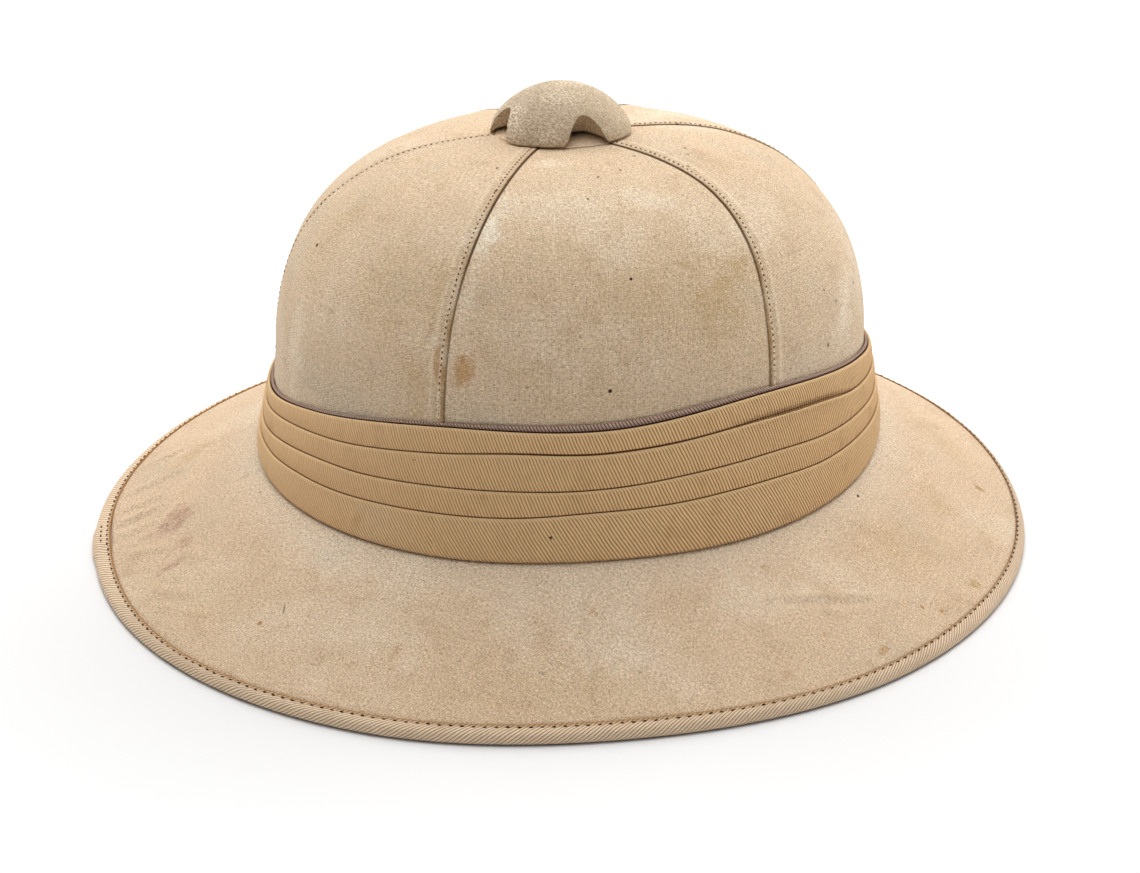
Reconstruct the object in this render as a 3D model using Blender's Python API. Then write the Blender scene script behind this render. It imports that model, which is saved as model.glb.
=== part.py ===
"""A cloth-covered pith helmet: moulded body, six gores, pleated band, bound brim and ventilator cap.

Metres, +Z up. The front of the helmet faces -Y and the wearer's left is +X. A "turn" is an angle
in degrees round the helmet, from the front towards the wearer's left.
"""

from math import cos, hypot, pi, radians, sin

import bmesh
import bpy
from mathutils import Matrix, Vector

OBJECT_NAME = "pith_helmet"
COLUMNS_PER_GORE = 9
CLOTH = 0.0010
GAP = 0.0003

# Rim of the brim, seen from above: turn, radius from the middle
RIM_ROWS = (
    (0, 0.1642), (30, 0.1573), (60, 0.1570), (90, 0.1561), (120, 0.1558), (150, 0.1600),
    (180, 0.1642), (210, 0.1616), (240, 0.1545), (270, 0.1560), (300, 0.1607), (330, 0.1653),
)
RIM_TOP = 0.0030
BRIM_SAG = 0.0012
COVER_SHARES = (0.66, 0.33)

# Root of the brim, where the band stands on it: an oval ring, and its height: turn, height
ROOT_HALF_WIDTH = 0.1051
ROOT_HALF_LENGTH = 0.1164
ROOT_CENTRE = (-0.0033, 0.0110)
ROOT_ROWS = (
    (0, 0.0296), (30, 0.0306), (60, 0.0281), (90, 0.0266), (120, 0.0272), (150, 0.0282),
    (180, 0.0285), (210, 0.0280), (240, 0.0270), (270, 0.0264), (300, 0.0268), (330, 0.0283),
)

# Crown: a squared dome on its own foot ring, leaning a little to the back and to one side
CROWN_HALF_WIDTH = 0.0980
CROWN_HALF_LENGTH = 0.1060
CROWN_RISE = 0.0722
CROWN_SIDE_POWER = 2.99
CROWN_TOP_POWER = 2.35
CROWN_FOOT = (-0.0033, 0.0118, 0.0600)
CROWN_LEAN_BACK = 4.6
CROWN_LEAN_SIDE = 1.3

# Seams between the gores: turn at the foot, how far the seam bows on its way up
SEAM_ROWS = ((0.2, 1.3), (62.6, 7.4), (124.0, 8.0), (181.0, 1.0), (237.5, -4.0), (297.8, 1.5))
SEAM_MEET = (-0.0024, -0.0055)
SEAM_OPEN = 0.0002
CROWN_REACHES = (0.12, 0.22, 0.40, 0.60, 0.76, 0.87, 0.94, 0.98, 1.0)
GORE_DROPS = (0.28, 0.55)

# Moulded pith body
PITH_INSET = CLOTH + GAP + 0.0001
PITH_CROWN_THICK = 0.0075
PITH_BRIM_THICK = 0.0040
VENT_HOLE_REACH = 0.07

# Band: turn, height of its upper edge above the crown's foot ring
BAND_TOP_ROWS = (
    (0, 0.0023), (30, 0.0034), (60, 0.0080), (90, 0.0042), (120, -0.0020), (150, -0.0035),
    (180, -0.0020), (210, -0.0015), (240, -0.0040), (270, -0.0085), (300, -0.0112), (330, -0.0042),
)
BAND_BUILD = 0.0048
# Where the next fold laps over the one above, as a share of the band's height:
# turn, second fold, third fold, fourth fold
FOLD_LINE_ROWS = (
    (0, 0.20, 0.44, 0.64), (45, 0.165, 0.42, 0.60), (90, 0.22, 0.44, 0.62), (135, 0.20, 0.44, 0.63),
    (180, 0.20, 0.44, 0.64), (225, 0.20, 0.45, 0.64), (270, 0.20, 0.46, 0.63), (315, 0.20, 0.43, 0.63),
)
FOLDS = 4
FIRST_FOLD_PROUD = 0.0022
FOLD_STEP = 0.0007
FOLD_THICK = 0.0010
FOLD_TUCK = 0.07
BAND_CLEARS_BRIM = 0.0012
EDGE_STRIP_THICK = 0.0008
EDGE_STRIP_SHOWS = 0.045
SLACK_TURN = 68.0
SLACK_SPREAD = 14.0
SLACK_PROUD = 0.0014

# Binding round the rim
BINDING_WIDTH = 0.0056
BINDING_PROUD = 0.0004
BINDING_WALL = 0.0010
REST_START = 0.0009
REST_END = 0.0034

# Ventilator: a low round seat and a four-lobed cap
SEAT_RADIUS = 0.0215
SEAT_HOLE = 0.0080
SEAT_THICK = 0.0011
CAP_RADIUS = 0.0233
CAP_HEIGHT = 0.0159
CAP_LIFT = 0.0007
CAP_WALL = 0.0012
CAP_RISE_POWER = 1.65
CAP_ROUND_POWER = 1.80
LOBES = 4
LOBE_DROP = -0.045
SCALLOP_HALF_TURN = 17.0
SCALLOP_HEIGHT = 0.54
CAP_LEVELS = (0.0, 0.25, 0.5, 0.75, 1.0)


def clear_scene():
    for item in list(bpy.data.objects):
        bpy.data.objects.remove(item, do_unlink=True)


def round_value(rows, turn, column=1):
    """Smooth curve through evenly spaced rows that close on themselves."""
    place = (turn % 360.0) * len(rows) / 360.0
    start = int(place)
    part = place - start
    before, low, high, after = (rows[(start + k) % len(rows)][column] for k in (-1, 0, 1, 2))
    bend = 2 * before - 5 * low + 4 * high - after
    twist = 3 * (low - high) + after - before
    return low + 0.5 * part * (high - before + part * (bend + part * twist))


def crown_frame():
    lean_back = Matrix.Rotation(radians(-CROWN_LEAN_BACK), 4, "X")
    lean_side = Matrix.Rotation(radians(-CROWN_LEAN_SIDE), 4, "Y")
    return Matrix.Translation(CROWN_FOOT) @ lean_back @ lean_side


def dome_height(x, y, inset=0.0):
    """Height of the crown above its foot ring, over a place on the foot's plane."""
    spread = min(1.0, hypot(x / (CROWN_HALF_WIDTH - inset), y / (CROWN_HALF_LENGTH - inset)))
    level = (1.0 - spread ** CROWN_SIDE_POWER) ** (1.0 / CROWN_TOP_POWER)
    return (CROWN_RISE - inset) * level


def crown_point(turn, reach, inset=0.0):
    """A place on the crown: reach is 0 where the seams meet and 1 at the foot."""
    angle = radians(turn)
    x = SEAM_MEET[0] * (1.0 - reach) + reach * (CROWN_HALF_WIDTH - inset) * sin(angle)
    y = SEAM_MEET[1] * (1.0 - reach) - reach * (CROWN_HALF_LENGTH - inset) * cos(angle)
    return crown_frame() @ Vector((x, y, dome_height(x, y, inset)))


def root_point(turn, inset=0.0):
    angle = radians(turn)
    x = ROOT_CENTRE[0] + (ROOT_HALF_WIDTH - inset) * sin(angle)
    y = ROOT_CENTRE[1] - (ROOT_HALF_LENGTH - inset) * cos(angle)
    return Vector((x, y, round_value(ROOT_ROWS, turn)))


def wall_point(turn, drop, inset=0.0):
    """The upright wall behind the band, from the crown's foot (0) to the brim (1)."""
    return crown_point(turn, 1.0, inset).lerp(root_point(turn, BAND_BUILD + inset), drop)


def side_point(turn, height, inset=0.0):
    """A place on the crown or the wall, by its height above the crown's foot ring."""
    foot = crown_point(turn, 1.0, inset)
    if height < 0.0:
        return wall_point(turn, -height / (foot.z - round_value(ROOT_ROWS, turn)), inset)
    level = height / (CROWN_RISE - inset)
    reach = (1.0 - level ** CROWN_TOP_POWER) ** (1.0 / CROWN_SIDE_POWER)
    angle = radians(turn)
    x = reach * (CROWN_HALF_WIDTH - inset) * sin(angle)
    y = -reach * (CROWN_HALF_LENGTH - inset) * cos(angle)
    return crown_frame() @ Vector((x, y, height))


def brim_point(turn, inward, lift=0.0):
    """The brim's cloth surface, by its distance in from the rim."""
    angle = radians(turn)
    radius = round_value(RIM_ROWS, turn)
    rim = Vector((radius * sin(angle), -radius * cos(angle), RIM_TOP))
    root = root_point(turn)
    share = inward / hypot(rim.x - root.x, rim.y - root.y)
    point = rim + (root - rim) * share
    point.z += lift - BRIM_SAG * sin(pi * share)
    return point


def brim_width(turn):
    rim = brim_point(turn, 0.0)
    root = root_point(turn)
    return hypot(rim.x - root.x, rim.y - root.y)


def outward(turn):
    angle = radians(turn)
    return Vector((sin(angle) / ROOT_HALF_WIDTH, -cos(angle) / ROOT_HALF_LENGTH, 0.0)).normalized()


def band_point(turn, drop, proud):
    """The band, from its upper edge (0) to the brim (1), proud of the cloth behind it."""
    top = side_point(turn, round_value(BAND_TOP_ROWS, turn), -GAP)
    base = wall_point(turn, 1.0, -GAP)
    return top.lerp(base, drop) + outward(turn) * proud


def band_height(turn):
    return (band_point(turn, 0.0, 0.0) - band_point(turn, 1.0, 0.0)).length


def seam_turn(index, reach):
    start, bow = SEAM_ROWS[index % len(SEAM_ROWS)]
    return start + 360.0 * (index // len(SEAM_ROWS)) + bow * sin(pi * reach)


def gore_turn(gore, share, reach):
    """Turn of a column of a gore, from its first seam (0) to its next one (1)."""
    return seam_turn(gore, reach) * (1.0 - share) + seam_turn(gore + 1, reach) * share


def columns():
    """Every column round the helmet, as a gore and a share of it."""
    return [(gore, step / COLUMNS_PER_GORE)
            for gore in range(len(SEAM_ROWS)) for step in range(COLUMNS_PER_GORE)]


def foot_turns():
    return [gore_turn(gore, share, 1.0) for gore, share in columns()]


def new_part(name, verts, faces, material):
    mesh = bpy.data.meshes.new(name)
    mesh.from_pydata([tuple(vert) for vert in verts], [], faces)
    work = bmesh.new()
    work.from_mesh(mesh)
    bmesh.ops.recalc_face_normals(work, faces=work.faces)
    work.to_mesh(mesh)
    work.free()
    mesh.materials.append(material)
    mesh.shade_smooth()
    mesh.set_sharp_from_angle(angle=radians(40.0))
    part = bpy.data.objects.new(name, mesh)
    bpy.data.collections[OBJECT_NAME].objects.link(part)
    return part


def ring_faces(ring_count, size, ring_closed):
    """Quads between rings of points; each ring closes on itself."""
    faces = []
    for ring in range(ring_count if ring_closed else ring_count - 1):
        after = (ring + 1) % ring_count
        for place in range(size):
            side = (place + 1) % size
            faces.append((ring * size + place, ring * size + side,
                          after * size + side, after * size + place))
    return faces


def looped_part(name, rings, material):
    """A closed body whose rings run round the helmet and come back to the first ring."""
    verts = [vert for ring in rings for vert in ring]
    return new_part(name, verts, ring_faces(len(rings), len(rings[0]), True), material)


def panel_part(name, outer, inner, material):
    """A closed body between two grids of points of the same size."""
    rows = len(outer)
    across = len(outer[0])
    verts = [vert for grid in (outer, inner) for row in grid for vert in row]
    inside = rows * across
    faces = []
    for row in range(rows - 1):
        for place in range(across - 1):
            corner = row * across + place
            quad = (corner, corner + 1, corner + across + 1, corner + across)
            faces.append(quad)
            faces.append(tuple(inside + vert for vert in reversed(quad)))
    edge = [place for place in range(across)]
    edge += [row * across + across - 1 for row in range(1, rows)]
    edge += [(rows - 1) * across + place for place in reversed(range(across - 1))]
    edge += [row * across for row in reversed(range(1, rows - 1))]
    for step, vert in enumerate(edge):
        after = edge[(step + 1) % len(edge)]
        faces.append((after, vert, inside + vert, inside + after))
    return new_part(name, verts, faces, material)


def new_material(name, colour, roughness, metallic=0.0):
    material = bpy.data.materials.new(name)
    material.use_nodes = True
    shader = material.node_tree.nodes["Principled BSDF"]
    shader.inputs["Base Color"].default_value = (*colour, 1.0)
    shader.inputs["Roughness"].default_value = roughness
    shader.inputs["Metallic"].default_value = metallic
    return material


def make_shell(material):
    inner_inset = PITH_INSET + PITH_CROWN_THICK
    reaches = (VENT_HOLE_REACH,) + CROWN_REACHES[1:]
    rings = []
    for reach in reaches:
        rings.append([crown_point(gore_turn(g, s, reach), reach, PITH_INSET) for g, s in columns()])
    turns = foot_turns()
    cover_under = -CLOTH - GAP
    brim_under = cover_under - PITH_BRIM_THICK
    rings.append([wall_point(turn, 0.85, PITH_INSET) for turn in turns])
    rings.append([brim_point(turn, brim_width(turn) + 0.0052, cover_under) for turn in turns])
    for share in COVER_SHARES:
        rings.append([brim_point(turn, share * brim_width(turn), cover_under) for turn in turns])
    rings.append([brim_point(turn, 0.0062, cover_under) for turn in turns])
    rings.append([brim_point(turn, 0.0017, cover_under + 0.0002) for turn in turns])
    rings.append([brim_point(turn, 0.0017, -0.0022) for turn in turns])
    rings.append([brim_point(turn, 0.0066, -0.0032) for turn in turns])
    rings.append([brim_point(turn, 0.35 * brim_width(turn), brim_under) for turn in turns])
    rings.append([brim_point(turn, brim_width(turn) + 0.0080, brim_under) for turn in turns])
    rings.append([wall_point(turn, 0.80, inner_inset) for turn in turns])
    for reach in reversed(reaches):
        if reach not in (0.22, 0.98):
            rings.append([crown_point(gore_turn(g, s, reach), reach, inner_inset) for g, s in columns()])
    looped_part("shell", rings, material)


def gore_grid(gore, inset):
    grid = []
    for reach in CROWN_REACHES:
        row = []
        for step in range(COLUMNS_PER_GORE + 1):
            turn = gore_turn(gore, step / COLUMNS_PER_GORE, reach)
            back_off = SEAM_OPEN / (reach * CROWN_HALF_WIDTH) * 180.0 / pi
            if step == 0:
                turn += back_off
            if step == COLUMNS_PER_GORE:
                turn -= back_off
            row.append((turn, crown_point(turn, reach, inset)))
        grid.append(row)
    points = [[point for turn, point in row] for row in grid]
    for drop in GORE_DROPS:
        points.append([wall_point(turn, drop, inset) for turn, point in grid[-1]])
    return points


def make_gores(material):
    for gore in range(len(SEAM_ROWS)):
        panel_part(f"crown_gore_{gore + 1}", gore_grid(gore, 0.0), gore_grid(gore, CLOTH), material)


def make_brim_cover(material):
    turns = foot_turns()
    under_band = 0.0020
    outer_edge = BINDING_WIDTH + GAP
    rings = []
    for lift in (0.0, -CLOTH):
        places = [[brim_point(turn, brim_width(turn) + under_band, lift) for turn in turns]]
        for share in COVER_SHARES:
            places.append([brim_point(turn, share * brim_width(turn), lift) for turn in turns])
        places.append([brim_point(turn, outer_edge, lift) for turn in turns])
        rings += places if lift == 0.0 else places[::-1]
    looped_part("brim_cover", rings, material)


def fold_line(turn, fold):
    """Where a fold's upper edge lies: 0 for the first, 1 for the brim."""
    if fold == 0:
        return 0.0
    if fold == FOLDS:
        return 1.0 - BAND_CLEARS_BRIM / band_height(turn)
    return round_value(FOLD_LINE_ROWS, turn, fold)


def slack(turn):
    return SLACK_PROUD * 2.718 ** -(((turn % 360.0) - SLACK_TURN) / SLACK_SPREAD) ** 2


def fold_section(turn, fold):
    """Drop and proud of each corner of a fold, from its upper edge down and back up inside."""
    top = fold_line(turn, fold)
    low = fold_line(turn, fold + 1)
    height = low - top
    proud = FIRST_FOLD_PROUD + fold * FOLD_STEP
    nose = proud + (slack(turn) if fold == 1 else 0.0)
    if fold == FOLDS - 1:
        return [(top, nose - 0.0003), (top + 0.03, nose), (top + 0.6 * height, nose + 0.0003),
                (low, nose + 0.0002), (low, nose + 0.0002 - FOLD_THICK), (top, nose - FOLD_THICK)]
    tail = proud + FOLD_STEP - FOLD_THICK - GAP
    return [(top, nose - 0.0003), (top + 0.03, nose), (top + 0.75 * height, proud - 0.0002),
            (low + FOLD_TUCK, tail), (low + FOLD_TUCK, tail - 0.0009),
            (top + 0.75 * height, proud - 0.0002 - FOLD_THICK), (top, nose - FOLD_THICK)]


def make_band(edge_material, fold_material):
    turns = foot_turns()
    shows = -EDGE_STRIP_SHOWS
    strip = ((shows, 0.0), (shows, EDGE_STRIP_THICK), (-shows, EDGE_STRIP_THICK), (-shows, 0.0))
    rings = [[band_point(turn, drop, proud) for turn in turns] for drop, proud in strip]
    looped_part("band_edge", rings, edge_material)
    for fold in range(FOLDS):
        sections = [[band_point(turn, drop, proud) for drop, proud in fold_section(turn, fold)]
                    for turn in turns]
        rings = [list(ring) for ring in zip(*sections)]
        looped_part(f"band_fold_{fold + 1}", rings, fold_material)


def binding_section(turn):
    """Corners of the folded binding, from its upper inner edge out, under and back."""
    top = BINDING_PROUD
    under_top = BINDING_PROUD - BINDING_WALL

    def at_height(inward, height):
        point = brim_point(turn, inward)
        point.z = height
        return point

    return [
        brim_point(turn, BINDING_WIDTH, top),
        brim_point(turn, 0.0009, top),
        at_height(0.0, 0.0023),
        at_height(0.0, 0.0009),
        at_height(REST_START, 0.0),
        at_height(REST_END, 0.0),
        at_height(BINDING_WIDTH, 0.0009),
        at_height(BINDING_WIDTH, 0.0009 + BINDING_WALL),
        at_height(0.0013, 0.0011),
        brim_point(turn, 0.0013, under_top),
        brim_point(turn, BINDING_WIDTH, under_top),
    ]


def make_binding(material):
    sections = [binding_section(turn) for turn in foot_turns()]
    looped_part("brim_binding", [list(ring) for ring in zip(*sections)], material)


def top_point(turn, radius, lift):
    """A place over the crown's top, by its distance from where the seams meet."""
    angle = radians(turn)
    x = SEAM_MEET[0] + radius * sin(angle)
    y = SEAM_MEET[1] - radius * cos(angle)
    return crown_frame() @ Vector((x, y, dome_height(x, y) + lift))


def make_vent_seat(material):
    turns = [360.0 * step / 32 for step in range(32)]
    corners = ((SEAT_HOLE, GAP), (SEAT_HOLE, GAP + SEAT_THICK), (SEAT_RADIUS - 0.0004, GAP + SEAT_THICK),
               (SEAT_RADIUS, GAP + 0.6 * SEAT_THICK), (SEAT_RADIUS, GAP))
    rings = [[top_point(turn, radius, lift) for turn in turns] for radius, lift in corners]
    looped_part("vent_seat", rings, material)


def lobe_edge(turn):
    """Level of the cap's lower edge: it dips in lobes and arches up in scallops between them."""
    pitch = 360.0 / LOBES
    away = abs((turn % pitch) - 0.5 * pitch) / SCALLOP_HALF_TURN
    if away >= 1.0:
        return LOBE_DROP
    arch = (1.0 - away ** 2.2) ** 0.77
    return LOBE_DROP + (SCALLOP_HEIGHT - LOBE_DROP) * arch


def cap_turns():
    half_lobe = 180.0 / LOBES - SCALLOP_HALF_TURN
    shares = [-half_lobe, 0.0]
    scallop = [half_lobe + 2.0 * SCALLOP_HALF_TURN * step for step in
               (0.0, 0.06, 0.16, 0.32, 0.5, 0.68, 0.84, 0.94)]
    offsets = [0.5 * (shares[0] + shares[1])] + [0.0, 0.5 * half_lobe] + scallop
    pitch = 360.0 / LOBES
    return [pitch * lobe + offset for lobe in range(LOBES) for offset in offsets]


def cap_point(turn, level, inset):
    radius = (CAP_RADIUS - inset) * (1.0 - max(level, 0.0) ** CAP_RISE_POWER) ** (1.0 / CAP_ROUND_POWER)
    angle = radians(turn)
    x = SEAM_MEET[0] + radius * sin(angle)
    y = SEAM_MEET[1] - radius * cos(angle)
    height = CROWN_RISE + CAP_LIFT + level * CAP_HEIGHT - inset * max(level, 0.0)
    return crown_frame() @ Vector((x, y, height))


def make_vent_cap(material):
    turns = cap_turns()
    rings = []
    for inset in (0.0, CAP_WALL):
        walls = []
        for share in CAP_LEVELS[1:]:
            ring = []
            for turn in turns:
                edge = lobe_edge(turn)
                ring.append(cap_point(turn, edge + (0.985 - edge) * (1.0 - share) ** 1.3, inset))
            walls.append(ring)
        rings += walls if inset == 0.0 else walls[::-1]
    size = len(turns)
    verts = [vert for ring in rings for vert in ring]
    faces = ring_faces(len(rings), size, False)
    top_outside = len(verts)
    verts.append(cap_point(0.0, 1.0, 0.0))
    verts.append(cap_point(0.0, 1.0, CAP_WALL))
    last = (len(rings) - 1) * size
    for place in range(size):
        side = (place + 1) % size
        faces.append((top_outside, side, place))
        faces.append((top_outside + 1, last + place, last + side))
    new_part("vent_cap", verts, faces, material)


def main():
    clear_scene()
    collection = bpy.data.collections.new(OBJECT_NAME)
    bpy.context.scene.collection.children.link(collection)
    pith = new_material("pith", (0.62, 0.54, 0.42), 0.9)
    crown_cloth = new_material("crown_cloth", (0.62, 0.53, 0.41), 0.9)
    brim_cloth = new_material("brim_cloth", (0.71, 0.60, 0.47), 0.9)
    band_cloth = new_material("band_cloth", (0.53, 0.39, 0.25), 0.85)
    strip_cloth = new_material("strip_cloth", (0.31, 0.22, 0.17), 0.9)
    binding_cloth = new_material("binding_cloth", (0.60, 0.46, 0.31), 0.85)
    vent_cloth = new_material("vent_cloth", (0.50, 0.41, 0.31), 0.8)
    make_shell(pith)
    make_gores(crown_cloth)
    make_brim_cover(brim_cloth)
    make_band(strip_cloth, band_cloth)
    make_binding(binding_cloth)
    make_vent_seat(vent_cloth)
    make_vent_cap(vent_cloth)


main()
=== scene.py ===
from collections import namedtuple
from math import cos, pi, radians, sin

import bmesh
import bpy
import numpy as np
from mathutils import Matrix, Vector, noise
from mathutils.bvhtree import BVHTree


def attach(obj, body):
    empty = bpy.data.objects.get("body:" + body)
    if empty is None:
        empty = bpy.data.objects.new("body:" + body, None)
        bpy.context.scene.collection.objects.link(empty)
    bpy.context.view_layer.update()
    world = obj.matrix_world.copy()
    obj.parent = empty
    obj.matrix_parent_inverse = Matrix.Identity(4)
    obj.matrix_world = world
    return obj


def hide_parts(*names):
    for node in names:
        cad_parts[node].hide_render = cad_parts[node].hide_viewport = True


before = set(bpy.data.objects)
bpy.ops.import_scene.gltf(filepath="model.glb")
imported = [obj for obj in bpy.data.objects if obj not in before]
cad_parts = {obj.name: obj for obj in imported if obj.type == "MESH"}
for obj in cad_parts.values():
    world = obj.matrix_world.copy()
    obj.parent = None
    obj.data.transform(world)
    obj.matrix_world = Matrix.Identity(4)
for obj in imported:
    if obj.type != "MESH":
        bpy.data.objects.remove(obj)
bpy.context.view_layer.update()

# A turn is an angle round the helmet in degrees, from the front (-Y) towards the wearer's left (+X).

picture = {"width": 1140, "height": 873, "focal": 2913.0}
view = {"yaw": 22.16, "rise": 24.57, "distance": 1.0, "target": (-0.0019, 0.0067, 0.0246), "sensor": 36.0}

helmet = {
    # radius of the rim, at every 30 degrees
    "rim": (0.1642, 0.1573, 0.1570, 0.1561, 0.1558, 0.1600, 0.1642, 0.1616, 0.1545, 0.1560, 0.1607, 0.1653),
    "rimTop": 0.0030,
    "brimSag": 0.0012,
    # height of the brim's root, at every 30 degrees
    "root": (0.0296, 0.0306, 0.0281, 0.0266, 0.0272, 0.0282, 0.0285, 0.0280, 0.0270, 0.0264, 0.0268, 0.0283),
    "rootHalf": (0.1051, 0.1164),
    "rootCentre": (-0.0033, 0.0110),
    "crownHalf": (0.0980, 0.1060),
    "crownRise": 0.0722,
    "sidePower": 2.99,
    "topPower": 2.35,
    "crownFoot": (-0.0033, 0.0118, 0.0600),
    "leanBack": 4.6,
    "leanSide": 1.3,
    # turn of each seam at the foot, how far it bows on its way up
    "seams": ((0.2, 1.3), (62.6, 7.4), (124.0, 8.0), (181.0, 1.0), (237.5, -4.0), (297.8, 1.5)),
    "seamMeet": (-0.0024, -0.0055),
    # height of the band's upper edge above the crown's foot, at every 30 degrees
    "bandTop": (0.0023, 0.0034, 0.0080, 0.0042, -0.0020, -0.0035, -0.0020, -0.0015, -0.0040, -0.0085, -0.0112,
                -0.0042),
    "bandBuild": 0.0048,
    "gap": 0.0003,
}


def roundValue(values, turn):
    # a smooth curve through values that are evenly spaced round the helmet
    values = np.array(values)
    place = np.mod(turn, 360.0) * len(values) / 360.0
    start = np.floor(place).astype(int)
    part = place - start
    before, low, high, after = (values[(start + k) % len(values)] for k in (-1, 0, 1, 2))
    bend = 2 * before - 5 * low + 4 * high - after
    twist = 3 * (low - high) + after - before
    return low + 0.5 * part * (high - before + part * (bend + part * twist))


def roundTurns(count):
    return np.linspace(0.0, 360.0, count, endpoint=False)


def turnFrom(turn, middle):
    return (turn - middle + 180.0) % 360.0 - 180.0


def ringPlace(turn, across, along, centre=(0.0, 0.0)):
    angle = np.radians(turn)
    return centre[0] + across * np.sin(angle), centre[1] - along * np.cos(angle)


def bell(value, width):
    return np.exp(-(value / width) ** 2)


def unit(vectors):
    return vectors / np.maximum(np.linalg.norm(vectors, axis=-1, keepdims=True), 1e-12)


def vec(x, y, z):
    return np.stack(np.broadcast_arrays(x, y, z), axis=-1)


def leanOver(points):
    turned = Matrix.Rotation(radians(-helmet["leanBack"]), 3, "X")
    turned = turned @ Matrix.Rotation(radians(-helmet["leanSide"]), 3, "Y")
    return points @ np.array(turned).T + np.array(helmet["crownFoot"])


def domeHeight(x, y, inset=0.0):
    spread = np.hypot(x / (helmet["crownHalf"][0] - inset), y / (helmet["crownHalf"][1] - inset))
    level = np.maximum(0.0, 1.0 - spread ** helmet["sidePower"]) ** (1.0 / helmet["topPower"])
    return (helmet["crownRise"] - inset) * level


def crownPoint(turn, reach, inset=0.0):
    across, along = (reach * (half - inset) for half in helmet["crownHalf"])
    x, y = ringPlace(turn, across, along, [value * (1.0 - reach) for value in helmet["seamMeet"]])
    return leanOver(vec(x, y, domeHeight(x, y, inset)))


def rootPoint(turn, inset=0.0):
    across, along = (half - inset for half in helmet["rootHalf"])
    return vec(*ringPlace(turn, across, along, helmet["rootCentre"]), roundValue(helmet["root"], turn))


def wallPoint(turn, drop, inset=0.0):
    foot = crownPoint(turn, 1.0, inset)
    root = rootPoint(turn, helmet["bandBuild"] + inset)
    return foot + (root - foot) * np.expand_dims(drop, -1)


def sidePoint(turn, height, inset):
    footHeight = crownPoint(turn, 1.0, inset)[..., 2] - roundValue(helmet["root"], turn)
    low = wallPoint(turn, np.maximum(0.0, -height / footHeight), inset)
    level = np.clip(height / (helmet["crownRise"] - inset), 0.0, 1.0)
    reach = (1.0 - level ** helmet["topPower"]) ** (1.0 / helmet["sidePower"])
    across, along = (reach * (half - inset) for half in helmet["crownHalf"])
    high = leanOver(vec(*ringPlace(turn, across, along), np.maximum(height, 0.0)))
    return np.where(np.expand_dims(height < 0.0, -1), low, high)


def rimPoint(turn):
    radius = roundValue(helmet["rim"], turn)
    return vec(*ringPlace(turn, radius, radius), helmet["rimTop"])


def brimWidth(turn):
    across = rimPoint(turn) - rootPoint(turn)
    return np.hypot(across[..., 0], across[..., 1])


def brimPoint(turn, inward, lift=0.0):
    rim = rimPoint(turn)
    share = inward / brimWidth(turn)
    point = rim + (rootPoint(turn) - rim) * np.expand_dims(share, -1)
    point[..., 2] += lift - helmet["brimSag"] * np.sin(pi * share)
    return point


def outward(turn):
    across, along = helmet["rootHalf"]
    return unit(vec(*ringPlace(turn, 1.0 / across, 1.0 / along), 0.0))


def bandPoint(turn, drop, proud):
    top = sidePoint(turn, roundValue(helmet["bandTop"], turn), -helmet["gap"])
    base = wallPoint(turn, np.ones_like(turn), -helmet["gap"])
    share = np.expand_dims(drop, -1)
    return top + (base - top) * share + outward(turn) * np.expand_dims(proud, -1)


def bandHeight(turn):
    zero = np.zeros_like(turn)
    return np.linalg.norm(bandPoint(turn, zero, zero) - bandPoint(turn, zero + 1.0, zero), axis=-1)


def seamTurn(index, reach):
    start, bow = helmet["seams"][index % 6]
    return start + 360.0 * (index // 6) + bow * np.sin(pi * reach)


def ease(value, low, high):
    share = np.clip((value - low) / (high - low), 0.0, 1.0)
    return share * share * (3.0 - 2.0 * share)


def ripple(points, size, seed):
    offset = Vector((seed * 7.13, seed * 3.71, seed * 1.37))
    flat = points.reshape(-1, 3)
    values = [noise.noise(Vector(point) / size + offset) for point in flat]
    return np.array(values).reshape(points.shape[:-1])


def lineUp(flat, pitch):
    return max(1, round(flat / pitch)) * pitch


def newObject(name, data):
    item = bpy.data.objects.new(name, data)
    bpy.context.scene.collection.objects.link(item)
    return item


def facesOut(mesh):
    work = bmesh.new()
    work.from_mesh(mesh)
    bmesh.ops.recalc_face_normals(work, faces=work.faces)
    work.to_mesh(mesh)
    work.free()


def meshPiece(name, verts, faces, faceUvs, material):
    mesh = bpy.data.meshes.new(name)
    mesh.from_pydata(verts.tolist(), [], faces.tolist())
    layer = mesh.uv_layers.new(name="cloth")
    layer.data.foreach_set("uv", faceUvs.reshape(-1).astype(np.float32))
    facesOut(mesh)
    mesh.materials.append(material)
    mesh.shade_smooth()
    piece = newObject(name, mesh)
    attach(piece, "root")
    return piece


def addMasks(piece, **masks):
    for name, values in masks.items():
        layer = piece.data.attributes.new(name, "FLOAT", "POINT")
        layer.data.foreach_set("value", np.asarray(values, dtype=np.float32).reshape(-1))


def ringUvs(turn, span, run):
    return np.stack(np.broadcast_arrays(turn[:, None] / 360.0 * span, run), axis=-1)


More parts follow.
